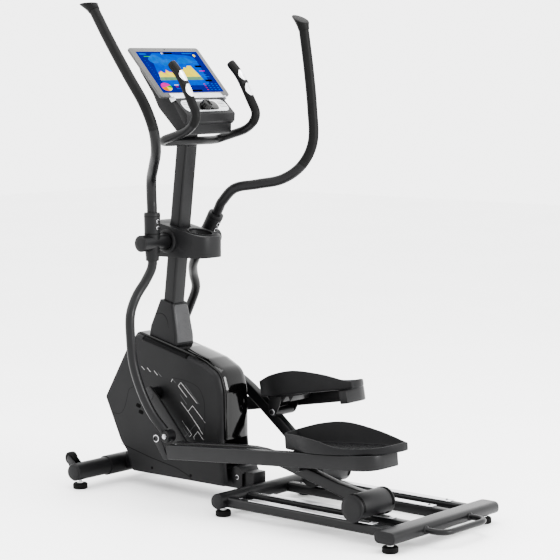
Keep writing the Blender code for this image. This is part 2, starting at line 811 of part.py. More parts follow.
BACK_OUT = -TABLET_THICK - FIT
console_back = solid(
    "console_back", PLASTIC,
    lambda bm: prism(
        bm,
        rounded(
            side_view([(0.1900, BACK_OUT), (-0.0120, BACK_OUT)])
            + [(0.4060, 1.2470), (0.4040, 1.2115), (0.3800, 1.2130), (0.3540, 1.2390), (0.2873, 1.3012),
               (0.2636, 1.3449), (0.2048, 1.4199)]
            + side_view([(0.1880, -0.0400)]),
            [0.008, 0.0, 0.004, 0.010, 0.015, 0.10, 0.06, 0.08, 0.05, 0.010], 3,
        ),
        -0.1150, 0.1150,
    ),
    cuts=(
        lambda bm: prism(
            bm, mast_outline(FIT, 1.15, MAST_TOP_Z + 0.001), -MAST_WIDE / 2 - FIT, MAST_WIDE / 2 + FIT
        ),
    ),
)
PANEL = [
    console_point(-0.0125, BACK_OUT + FIT), console_point(-0.0125, 0.004),
    (0.4190, 1.2800), (0.4170, 1.2560), (0.4066, 1.2460),
]
console_front = solid(
    "console_panel", PLASTIC,
    lambda bm: prism(bm, PANEL, -0.1180, 0.1180),
    cuts=(
        lambda bm: prism(
            bm,
            [console_point(0.0, BACK_OUT + FIT / 2), console_point(-0.0122, BACK_OUT + FIT / 2),
             (0.4063, 1.2470), (0.39, 1.2), (0.30, 1.2), (0.30, 1.35)],
            -0.13, 0.13,
        ),
    ),
)
LEDGE = side_view([
    (-0.0003, -0.0085), (-0.0003, 0.0003), (0.012, 0.0003), (0.012, 0.0028), (-0.0122, 0.0060),
    (-0.0122, -0.0085),
])
solid("console_ledge", SILVER, lambda bm: prism(bm, LEDGE, -0.1250, 0.1250))


def bar_points(sign):
    run = [
        (0.3345, 0.0450, 1.1890), (0.3275, 0.1000, 1.1885), (0.3250, 0.1300, 1.1900),
        (0.3430, 0.1445, 1.1975), (0.3800, 0.1470, 1.2080), (0.4380, 0.1470, 1.2255),
        (0.4740, 0.1470, 1.2510), (0.4850, 0.1470, 1.2830), (0.4640, 0.1460, 1.3250),
        (0.4200, 0.1450, 1.4000), (0.3770, 0.1440, 1.4460),
    ]
    return [(x, sign * y, z) for x, y, z in run]


BAR = [Vector(p) for p in reversed(bar_points(-1))] + [Vector((0.3345, 0.0, 1.1890))]
BAR += [Vector(p) for p in bar_points(1)]
solid("fixed_handlebar", STEEL_BLACK, lambda bm: sweep(bm, through(BAR, 3), BAR_R))


PANEL_A = console_point(-0.0125, 0.004)
PANEL_B = (0.4290, 1.2740)
PANEL_DIR = Vector((PANEL_B[0] - PANEL_A[0], PANEL_B[1] - PANEL_A[1])).normalized()
PANEL_OUT = Vector((-PANEL_DIR.y, PANEL_DIR.x))
KNOB_C = Vector(PANEL_A) + (Vector(PANEL_B) - Vector(PANEL_A)) * 0.52
KNOB_FRAME = Matrix.Translation((KNOB_C.x, 0.0, KNOB_C.y)) @ Matrix(
    ((PANEL_DIR.x, 0, PANEL_OUT.x, 0), (0, 1, 0, 0), (PANEL_DIR.y, 0, PANEL_OUT.y, 0), (0, 0, 0, 1))
)


def knob(bm):
    verts = bmesh.ops.create_cone(
        bm, cap_ends=True, segments=16, radius1=KNOB_R, radius2=KNOB_R * 0.82, depth=0.018,
        matrix=KNOB_FRAME @ Matrix.Translation((0, 0, 0.009 + FIT)),
    )
    return verts


solid("control_knob", GLOSS, knob, origin=(KNOB_C.x, 0.0, KNOB_C.y))

# ---------------------------------------------------------------- the two linkages
UPPER_LINE = [
    (0.000, 0.1300, SLEEVE_TOP + FIT), (0.000, 0.1300, 0.1200), (0.000, 0.1315, 0.1500),
    (0.0139, 0.1461, 0.2118), (0.0635, 0.1860, 0.2598),
    (0.1152, 0.2288, 0.3124), (0.1379, 0.2638, 0.3829), (0.1200, 0.2877, 0.4645), (0.0548, 0.2930, 0.5555),
    (-0.0281, 0.2899, 0.6629), (-0.1050, 0.2812, 0.7620),
]
LOWER_LINE = [
    (0.000, 0.1300, -SLEEVE_FOOT - FIT), (0.000, 0.1300, -0.0700), (-0.003, 0.1350, -0.092),
    (-0.0120, 0.1540, -0.1300),
    (-0.0190, 0.1900, -0.1772), (-0.0110, 0.2260, -0.2338), (-0.0050, 0.2320, -0.3105),
    (0.0036, 0.2290, -0.3969), (0.0280, 0.2180, -0.4842), (0.0600, 0.2020, -0.5580),
    (0.0985, 0.1830, -0.6140),
]
CAP_RINGS = [  # along the tube, radius, forward shift and forward slope of each ring
    (-0.0030, 0.0176, 0.0000, 0.00), (0.0030, 0.0192, 0.0000, 0.00), (0.0140, 0.0208, 0.0015, 0.10),
    (0.0260, 0.0245, 0.0050, 0.35), (0.0360, 0.0285, 0.0090, 0.60), (0.0388, 0.0268, 0.0090, 0.62),
]
END_SLEEVE_R = 0.0200
END_Y0 = 0.1600
END_Y1 = 0.1960


def swing_frame(sign, turn):
    """From the swing arm's own XYZ about its pivot to the machine: outward Y by side, then the turn."""
    return (
        Matrix.Translation((PIVOT_X, 0.0, PIVOT_Z))
        @ Matrix.Rotation(turn, 4, "Y")
        @ Matrix.Diagonal((1.0, sign, 1.0, 1.0))
    )


def bend(points, frame, steps):
    return [frame @ Vector(points[0])] + [frame @ p for p in through(points[1:], steps)]


def cap_shape(bm, frame):
    """The flared cap that closes the top of the swing arm, longer and wider to the front."""
    tip = frame @ Vector(UPPER_LINE[-1])
    axis = (tip - frame @ Vector(UPPER_LINE[-2])).normalized()
    side = axis.cross(Vector((0, 1, 0))).normalized()
    other = axis.cross(side)
    rings = []
    for reach, radius, shift, slope in CAP_RINGS:
        middle = tip + axis * reach + side * shift
        ring = []
        for k in range(24):
            a = 2 * pi * (k + 0.25) / 24
            out = (side * cos(a) + other * sin(a)) * radius
            ring.append(bm.verts.new(middle + out + axis * out.dot(side) * slope))
        rings.append(ring)
    for one, two in zip(rings, rings[1:]):
        for k in range(24):
            j = (k + 1) % 24
            bm.faces.new((one[k], one[j], two[j], two[k]))
    bm.faces.new(rings[0])
    bm.faces.new(list(reversed(rings[-1])))


def joint_shape(bm, frame):
    bmesh.ops.create_cone(
        bm, cap_ends=True, segments=SEGS, radius1=JOINT_R, radius2=JOINT_R, depth=JOINT_Y1 - JOINT_Y0,
        matrix=frame @ Matrix.Translation((0, (JOINT_Y0 + JOINT_Y1) / 2, 0))
        @ Matrix.Rotation(pi / 2, 4, "X"),
    )


def sleeve_shape(bm, frame):
    rings = []
    steps = (
        (SLEEVE_FOOT_R, -SLEEVE_FOOT), (SLEEVE_FOOT_R + 0.001, -0.045), (SLEEVE_TOP_R - 0.001, -0.02),
        (SLEEVE_TOP_R, 0.05), (SLEEVE_TOP_R + 0.001, SLEEVE_TOP),
    )
    for radius, z in steps:
        ring = []
        for k in range(SEGS):
            a = 2 * pi * (k + 0.5) / SEGS
            ring.append(bm.verts.new(frame @ Vector((radius * cos(a), JOINT_MID_Y + radius * sin(a), z))))
        rings.append(ring)
    for one, two in zip(rings, rings[1:]):
        for k in range(SEGS):
            j = (k + 1) % SEGS
            bm.faces.new((one[k], one[j], two[j], two[k]))
    bm.faces.new(rings[0])
    bm.faces.new(list(reversed(rings[-1])))


def bore_shape(bm, frame):
    bmesh.ops.create_cone(
        bm, cap_ends=True, segments=SEGS, radius1=AXLE_R + RUN, radius2=AXLE_R + RUN, depth=0.1600,
        matrix=frame @ Matrix.Translation((0, AXLE_HALF + 0.001 - 0.080, 0))
        @ Matrix.Rotation(pi / 2, 4, "X"),
    )


def arm_outline(at):
    """The roller arm's side view: front eye, bent tube, end bracket, and the eye round the roller axle."""
    pr = at["arm"]
    pin, roller = Vector(at["pin"]), Vector(at["roller"])
    front = pr + radians(ARM_FRONT_TURN)
    rear = pr + radians(ARM_REAR_TURN)
    fd, rd = Vector((cos(front), sin(front))), Vector((cos(rear), sin(rear)))
    gap = roller - pin
    cross = fd.x * rd.y - fd.y * rd.x
    s = (gap.x * rd.y - gap.y * rd.x) / cross
    knee = pin + fd * s
    fn, rn = Vector((-fd.y, fd.x)), Vector((-rd.y, rd.x))
    half = ARM_HALF_TALL
    mn = (fn + rn).normalized() * (half / (fn + rn).normalized().dot(fn))
    pd = Vector((cos(pr), sin(pr)))
    pn = Vector((-pd.y, pd.x))
    weld = roller - rd * 0.128
    top = [pin - fd * 0.020 + fn * half, knee + mn, weld + rn * half, roller - pd * 0.040 + pn * 0.034,
           roller - pd * 0.012 + pn * 0.036]
    low = [roller - pd * 0.010 - pn * 0.020, roller - pd * 0.050 - pn * 0.016, weld - rn * half, knee - mn,
           pin - fd * 0.020 - fn * half]
    corners = [(p.x, p.y) for p in top + low]
    radii = [0.014, 0.55, 0.02, 0.02, 0.004, 0.004, 0.02, 0.02, 0.55, 0.014]
    return rounded(corners, radii, 5)


def tube_frame(at, sign):
    """From the pedal arm's own frame (along, out, up from its front pivot) to the machine."""
    angle = at["pedal"] + radians(TUBE_TURN)
    c, s = cos(angle), sin(angle)
    return Matrix.Translation((at["end"][0], 0.0, at["end"][1])) @ Matrix(
        ((c, 0, -s, 0), (0, sign, 0, 0), (s, 0, c, 0), (0, 0, 0, 1))
    )


def tube_plan():
    """The pedal arm seen from above: straight, then turned inwards behind the pedal."""
    outer = rounded(
        [(TUBE_FRONT, TUBE_Y1), (TUBE_REAR, TUBE_Y1), (TUBE_REAR, TUBE_END_Y)], [0.0, TUBE_BEND, 0.0], 7
    )
    wide = TUBE_Y1 - TUBE_Y0
    inner = rounded(
        [(TUBE_REAR - wide, TUBE_END_Y), (TUBE_REAR - wide, TUBE_Y0), (TUBE_FRONT, TUBE_Y0)],
        [0.0, TUBE_BEND - wide * 0.6, 0.0], 7,
    )
    return outer + inner


HINGE_S = PEDAL_REACH * cos(radians(TUBE_TURN))
HINGE_P = -PEDAL_REACH * sin(radians(TUBE_TURN))
TUBE_TOP = -TUBE_DROP + TUBE_HALF_TALL
TUBE_LOW = -TUBE_DROP - TUBE_HALF_TALL


def framed_prism(bm, points, lo, hi, frame):
    """A prism whose outline is (along, up) and whose thickness is outward, in the pedal arm's frame."""
    prism(bm, points, lo, hi, "XZ", frame)


def cheek_outline():
    return [
        (HINGE_S - 0.016, HINGE_P + 0.002), (HINGE_S - 0.012, HINGE_P - 0.010), (HINGE_S, HINGE_P - 0.015),
        (HINGE_S + 0.012, HINGE_P - 0.010), (HINGE_S + 0.030, HINGE_P + 0.012),
        (HINGE_S + 0.052, TUBE_TOP - 0.004), (HINGE_S - 0.004, TUBE_TOP - 0.004),
        (HINGE_S - 0.014, HINGE_P + 0.020),
    ]


def clevis_outline():
    return rounded(
        [(-0.0165, 0.0), (-0.0120, 0.0120), (0.0, 0.0168), (0.0120, 0.0120), (0.0170, 0.0),
         (TUBE_FRONT + 0.002, TUBE_LOW + 0.010), (TUBE_FRONT + 0.002, TUBE_LOW - 0.001),
         (TUBE_FRONT - 0.014, TUBE_LOW - 0.001)],
        [0.004, 0.004, 0.004, 0.004, 0.004, 0.0, 0.0, 0.003], 2,
    )


PEDAL_PLAN = [
    (0.000, 0.118), (0.000, 0.180), (0.060, 0.210), (0.120, 0.234), (0.185, 0.2445), (0.255, 0.243),
    (0.325, 0.228), (0.380, 0.196), (0.410, 0.150), (0.415, 0.105), (0.400, 0.087), (0.300, 0.085),
    (0.180, 0.085), (0.080, 0.092),
]
PEDAL_HIGH = [
    0.054, 0.050, 0.051, 0.049, 0.040, 0.023, 0.020, 0.021, 0.026, 0.027, 0.026, 0.056, 0.078, 0.072,
]


def pedal_shape(bm, frame):
    """The pedal: a tray whose rim stands high at the front and on the inner side."""
    corners = [(x, y, h) for (x, y), h in zip(PEDAL_PLAN, PEDAL_HIGH)]
    plan = through(corners + corners[:1], 2)[:-1]
    flat = [(p.x, p.y) for p in plan]
    base = TUBE_TOP + FIT
    rings = []
    steps = ((0.004, 0.0), (0.0, 0.004), (0.0, None), (PEDAL_RIM, None), (PEDAL_RIM + 0.004, PEDAL_FLOOR))
    for shrink, level in steps:
        line = inset(flat, shrink) if shrink else flat
        ring = []
        for (x, y), p in zip(line, plan):
            up = p.z if level is None else level
            ring.append(bm.verts.new(frame @ Vector((PEDAL_FRONT + x, y, base + up))))
        rings.append(ring)
    count = len(flat)
    for one, two in zip(rings, rings[1:]):
        for k in range(count):
            j = (k + 1) % count
            bm.faces.new((one[k], one[j], two[j], two[k]))
    bm.faces.new(rings[0])
    bm.faces.new(list(reversed(rings[-1])))


for side, sign, at in SIDES:
    turn = -(at["swing"] - LEFT["swing"])
    frame = swing_frame(sign, turn)
    pivot = (PIVOT_X, 0.0, PIVOT_Z)
    solid(
        f"swing_upper_{side}", STEEL_BLACK,
        lambda bm, f=frame: sweep(bm, bend(UPPER_LINE, f, 4), UPPER_TUBE_R), origin=pivot,
        adds=(lambda bm, f=frame: cap_shape(bm, f),),
    )
    solid(
        f"swing_joint_{side}", STEEL_BLACK,
        lambda bm, f=frame: joint_shape(bm, f), origin=pivot,
        adds=(lambda bm, f=frame: sleeve_shape(bm, f),),
        cuts=(lambda bm, f=frame: bore_shape(bm, f),),
    )
    lo, hi = sorted((sign * END_Y0, sign * END_Y1))
    solid(
        f"swing_lower_{side}", STEEL_BLACK,
        lambda bm, f=frame: sweep(bm, bend(LOWER_LINE, f, 3), LOWER_TUBE_R), origin=pivot,
        adds=(lambda bm, a=at, p=lo, q=hi: rod(bm, a["end"][0], a["end"][1], END_SLEEVE_R, p, q),),
        cuts=(lambda bm, a=at, p=lo, q=hi: rod(bm, a["end"][0], a["end"][1], 0.0090, p - 0.01, q + 0.01),),
    )

    # crank arm and its pin
    cx, cz = CRANK_X, CRANK_Z
    lo, hi = sorted((sign * CRANK_ARM_Y0, sign * CRANK_ARM_Y1))
    near, far = sorted((sign * (CRANK_ARM_Y1 - 0.002), sign * PIN_FACE_Y))
    boss0, boss1 = sorted((sign * (HOUSE_HALF + 0.003), sign * (CRANK_ARM_Y0 + 0.001)))
    reach = CRANK_R + 0.024
    half = CRANK_ARM_HALF
    shape = rounded(
        [(-0.024, -half), (0.03, -half - 0.004), (reach, -half * 0.86), (reach, half * 0.86),
         (0.03, half + 0.004), (-0.024, half)],
        [0.015, 0.03, 0.013, 0.013, 0.03, 0.015], 3,
    )
    solid(
        f"crank_{side}", STEEL_BLACK,
        lambda bm, s=shape, a=at, p=lo, q=hi: prism(bm, about((cx, cz), s, a["crank"]), p, q),
        origin=(CRANK_X, 0.0, CRANK_Z),
        adds=(
            lambda bm, a=at, p=near, q=far: rod(bm, a["pin"][0], a["pin"][1], PIN_R, p, q),
            lambda bm, p=boss0, q=boss1: ring_y(
                bm, CRANK_X, CRANK_Z, CRANK_BOSS_R, CRANK_AXLE_R + FIT, p, q, 32
            ),
        ),
    )

    # roller arm with its hinge sleeve
    lo, hi = sorted((sign * ARM_Y0, sign * ARM_Y1))
    s0, s1 = sorted((sign * HINGE_Y0, sign * HINGE_Y1))
    e0, e1 = sorted((sign * (ARM_Y0 - 0.004), sign * (ARM_Y1 + 0.004)))
    big0, big1 = sorted((sign * 0.10, sign * 0.21))
    rx, rz = at["roller"]
    hx, hz = at["hinge"]
    solid(
        f"roller_arm_{side}", STEEL_BLACK,
        lambda bm, a=at, p=lo, q=hi: prism(bm, arm_outline(a), p, q),
        origin=(rx, 0.0, rz),
        adds=(
            lambda bm, x=hx, z=hz, p=s0, q=s1: rod(bm, x, z, HINGE_SLEEVE_R, p, q),
            lambda bm, x=rx, z=rz, p=e0, q=e1: rod(bm, x, z, 0.0150, p, q),
        ),
        cuts=(
            lambda bm, x=hx, z=hz, p=big0, q=big1: rod(bm, x, z, HINGE_PIN_R + RUN, p, q, 20),
            lambda bm, x=rx, z=rz, p=big0, q=big1: rod(bm, x, z, WHEEL_AXLE_R + RUN, p, q),
        ),
    )

    # roller axle, two wheels and the cover over them
    lo, hi = sorted((sign * (COVER_Y0 + COVER_WALL + 0.001), sign * (COVER_Y1 - COVER_WALL - 0.001)))
    solid(
        f"roller_axle_{side}", BRIGHT,
        lambda bm, x=rx, z=rz, p=lo, q=hi: rod(bm, x, z, WHEEL_AXLE_R, p, q),
        origin=(rx, 0.0, rz),
    )
    for row, y in (("outer", RAIL_OUTER_Y), ("inner", RAIL_INNER_Y)):
        mid = sign * y
        solid(
            f"roller_{side}_{row}", RUBBER,
            lambda bm, x=rx, z=rz, m=mid: ring_y(
                bm, x, z, WHEEL_R, WHEEL_AXLE_R + RUN, m - WHEEL_WIDE / 2, m + WHEEL_WIDE / 2, 32
            ),
            origin=(rx, 0.0, rz),
        )
    c0, c1 = sorted((sign * COVER_Y0, sign * COVER_Y1))
    i0, i1 = sorted((sign * (COVER_Y0 + COVER_WALL), sign * (COVER_Y1 - COVER_WALL)))
    w0, w1 = sorted((sign * (ARM_Y0 - FIT), sign * (ARM_Y1 + FIT)))
    b0, b1 = sorted((sign * 0.0830, sign * 0.2215))
    pr = at["arm"]
    block = [(-0.060, -0.0330), (0.060, -0.0330), (0.060, -0.0600), (-0.060, -0.0600)]
    tilt = pr + radians(12.0 + 5.2)
    window = [(-0.060, -0.0330), (0.002, -0.0330), (0.002, 0.0370), (-0.060, 0.0370)]
    solid(
        f"roller_cover_{side}", PLASTIC,
        lambda bm, x=rx, z=rz, p=c0, q=c1: rod(bm, x, z, COVER_R, p, q, 32),
        origin=(rx, 0.0, rz),
        cuts=(
            lambda bm, x=rx, z=rz, p=i0, q=i1: rod(bm, x, z, COVER_R - COVER_WALL, p, q, 32),
            lambda bm, x=rx, z=rz, p=b0, q=b1, s=block, t=tilt: prism(bm, about((x, z), s, t), p, q),
            lambda bm, x=rx, z=rz, p=w0, q=w1, s=window, t=pr: prism(bm, about((x, z), s, t), p, q),
        ),
    )

    # pedal arm with its front plate, hinge cheeks and carrier, and the pedal
    tf = tube_frame(at, sign)
    end = (at["hinge"][0], 0.0, at["hinge"][1])
    solid(
        f"pedal_arm_{side}", STEEL_BLACK,
        lambda bm, f=tf: prism(bm, tube_plan(), TUBE_LOW, TUBE_TOP, "XY", f),
        origin=end,
        adds=(
            lambda bm, f=tf: framed_prism(
                bm, clevis_outline(), TUBE_Y1 - CLEVIS_PLATE, TUBE_Y1 + 0.0002, f
            ),
            lambda bm, f=tf: framed_prism(bm, cheek_outline(), HINGE_Y1 + FIT, TUBE_Y0 + 0.001, f),
            lambda bm, f=tf: framed_prism(bm, cheek_outline(), HINGE_Y0 - FIT - CHEEK, HINGE_Y0 - FIT, f),
            lambda bm, f=tf: framed_prism(
                bm, box_outline(HINGE_S - 0.0025, HINGE_S + 0.130, TUBE_TOP - 0.0056, TUBE_TOP - 0.0006),
                HINGE_Y0 - FIT - CHEEK * 0.8, TUBE_Y0 + 0.0015, f,
            ),
            lambda bm, f=tf: framed_prism(
                bm, circle((HINGE_S, HINGE_P), HINGE_PIN_R, 20),
                HINGE_Y0 - FIT - CHEEK / 2, TUBE_Y0 - 0.0020, f,
            ),
        ),
    )
    solid(f"pedal_{side}", PLASTIC, lambda bm, f=tf: pedal_shape(bm, f), origin=end)
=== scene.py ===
"""Looks of the elliptical trainer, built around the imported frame. Laid out as an add-on, run as a script."""

import json
from math import cos, pi, radians, sin, tan

import bmesh
import bpy
from mathutils import Matrix, Vector
from mathutils.kdtree import KDTree

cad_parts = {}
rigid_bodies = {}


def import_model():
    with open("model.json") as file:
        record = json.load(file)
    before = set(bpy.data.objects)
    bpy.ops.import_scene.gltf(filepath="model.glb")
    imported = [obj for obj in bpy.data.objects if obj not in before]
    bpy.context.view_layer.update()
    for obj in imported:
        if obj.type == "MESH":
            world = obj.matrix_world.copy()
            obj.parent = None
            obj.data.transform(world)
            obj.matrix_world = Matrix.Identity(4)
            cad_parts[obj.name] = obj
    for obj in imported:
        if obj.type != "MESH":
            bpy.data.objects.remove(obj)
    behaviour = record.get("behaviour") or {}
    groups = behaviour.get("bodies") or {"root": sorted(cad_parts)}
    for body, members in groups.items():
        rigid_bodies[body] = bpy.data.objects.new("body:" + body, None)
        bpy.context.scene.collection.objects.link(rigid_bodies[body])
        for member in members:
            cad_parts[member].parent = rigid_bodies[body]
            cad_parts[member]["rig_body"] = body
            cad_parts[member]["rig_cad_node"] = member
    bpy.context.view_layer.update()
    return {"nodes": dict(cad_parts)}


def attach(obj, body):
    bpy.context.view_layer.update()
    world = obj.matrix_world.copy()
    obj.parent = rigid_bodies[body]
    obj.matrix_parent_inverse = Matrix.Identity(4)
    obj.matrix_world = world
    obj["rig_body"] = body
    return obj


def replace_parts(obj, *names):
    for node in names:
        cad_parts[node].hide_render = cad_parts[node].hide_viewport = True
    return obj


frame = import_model()

bl_info = {
    "name": "Elliptical trainer builder",
    "version": (1, 0, 0),
    "blender": (4, 5, 0),
    "location": "View3D > Sidebar > Trainer",
    "description": "Builds the looks of an elliptical trainer around its mechanical frame",
    "category": "Object",
}

SHIFT = 0.7038  # from the front stabiliser's axis to the middle of the machine
PIVOT = Vector((0.2687 - SHIFT, 0.0, 0.8537))
SWING = radians(31.9794)
LEAN = tan(radians(7.0))
SIDES = (("left", -1), ("right", 1))
ENDS = {"left": (0.3790, 0.2225), "right": (0.0279, 0.2598)}
PINS = {"left": (0.3911, 0.1793), "right": (0.0801, 0.4947)}
ROLLERS = {"left": (1.1925, 0.1065), "right": (0.7849, 0.1065)}
HINGES = {"left": (0.9445, 0.1954), "right": (0.5934, 0.2875)}
ARM_TURN = {"left": radians(-5.19), "right": radians(-28.844)}
PEDAL_TURN = {"left": radians(-2.74 + 7.52), "right": radians(2.797 + 7.52)}
CRANK_TURN = {"left": radians(-45.4), "right": radians(134.6)}
CRANK = (0.2356, 0.3370)


def linear(code):
    """An sRGB hex colour as linear RGB."""
    parts = [int(code[i : i + 2], 16) / 255 for i in (1, 3, 5)]
    return tuple(c / 12.92 if c <= 0.04045 else ((c + 0.055) / 1.055) ** 2.4 for c in parts)


# ------------------------------------------------------------------ settings a user would change
class TrainerSizes(bpy.types.PropertyGroup):
    grip_radius: bpy.props.FloatProperty(
        name="Grip radius", description="Radius of the foam grips", default=0.0171, unit="LENGTH"
    )
    tube_edge: bpy.props.FloatProperty(
        name="Tube edge", description="Rounding of the square tubes' edges", default=0.0050, unit="LENGTH"
    )
    bolt_radius: bpy.props.FloatProperty(
        name="Bolt radius", description="Radius of a pivot bolt's head", default=0.0092, unit="LENGTH"
    )
    floor_size: bpy.props.FloatProperty(
        name="Floor size", description="Side of the studio floor", default=24.0, unit="LENGTH"
    )
    lens: bpy.props.FloatProperty(
        name="Lens", description="Focal length of the camera in millimetres", default=125.46
    )


# ------------------------------------------------------------------ finishes
def add(tree, kind, links=(), **values):
    """Adds one shader node. Values are settings; links are pairs of input and a value or a socket."""
    made = tree.nodes.new(kind)
    for name, value in values.items():
        setattr(made, name, value)
    for name, value in links:
        if isinstance(value, bpy.types.NodeSocket):
            tree.links.new(value, made.inputs[name])
        else:
            made.inputs[name].default_value = value
    return made


def start_finish(name, **sockets):
    mat = bpy.data.materials.new(name)
    mat.use_nodes = True
    shader = mat.node_tree.nodes["Principled BSDF"]
    for key, value in sockets.items():
        shader.inputs[key.replace("_", " ")].default_value = value
    return mat, mat.node_tree, shader


def mottled(name, low, high, patch_mm, rough, grain_mm, depth_mm, stretch=(1, 1, 1), **sockets):
    """A finish whose colour drifts between two shades, with an uneven sheen and a fine grain."""
    mat, tree, shader = start_finish(name, **sockets)
    place = add(tree, "ShaderNodeTexCoord").outputs["Object"]
    place = add(tree, "ShaderNodeMapping", [("Vector", place), ("Scale", stretch)]).outputs["Vector"]
    patch = add(tree, "ShaderNodeTexNoise", [("Vector", place), ("Scale", 1000 / patch_mm), ("Detail", 3.0)])
    grain = add(tree, "ShaderNodeTexNoise", [("Vector", place), ("Scale", 1000 / grain_mm), ("Detail", 2.0)])
    ramp = add(tree, "ShaderNodeValToRGB", [("Fac", patch.outputs["Fac"])])
    ramp.color_ramp.elements[0].position = 0.30
    ramp.color_ramp.elements[1].position = 0.70
    ramp.color_ramp.elements[0].color = (*linear(low), 1)
    ramp.color_ramp.elements[1].color = (*linear(high), 1)
    sheen = add(
        tree, "ShaderNodeMapRange",
        [("Value", grain.outputs["Fac"]), ("From Min", 0.3), ("From Max", 0.7), ("To Min", rough[0]),
         ("To Max", rough[1])],
    )
    bump = add(
        tree, "ShaderNodeBump",
        [("Height", grain.outputs["Fac"]), ("Strength", 0.35), ("Distance", depth_mm / 1000)],
    )
    tree.links.new(ramp.outputs["Color"], shader.inputs["Base Color"])
    tree.links.new(sheen.outputs["Result"], shader.inputs["Roughness"])
    tree.links.new(bump.outputs["Normal"], shader.inputs["Normal"])
    return mat


def plain_glow(name, code, strength=1.0):
    """Lit display colour: a slight row pattern keeps it from being one flat tone."""
    mat, tree, shader = start_finish(name, Roughness=0.12, Specular_IOR_Level=0.0)
    place = add(tree, "ShaderNodeTexCoord").outputs["Object"]
    rows = add(tree, "ShaderNodeTexNoise", [("Vector", place), ("Scale", 60.0), ("Detail", 4.0)])
    ramp = add(tree, "ShaderNodeValToRGB", [("Fac", rows.outputs["Fac"])])
    base = linear(code)
    ramp.color_ramp.elements[0].position = 0.25
    ramp.color_ramp.elements[1].position = 0.75
    ramp.color_ramp.elements[0].color = (*[c * 0.78 for c in base], 1)
    ramp.color_ramp.elements[1].color = (*[min(1.0, c * 1.18) for c in base], 1)
    shader.inputs["Base Color"].default_value = (0.0, 0.0, 0.0, 1.0)
    tree.links.new(ramp.outputs["Color"], shader.inputs["Emission Color"])
    shader.inputs["Emission Strength"].default_value = strength
    return mat


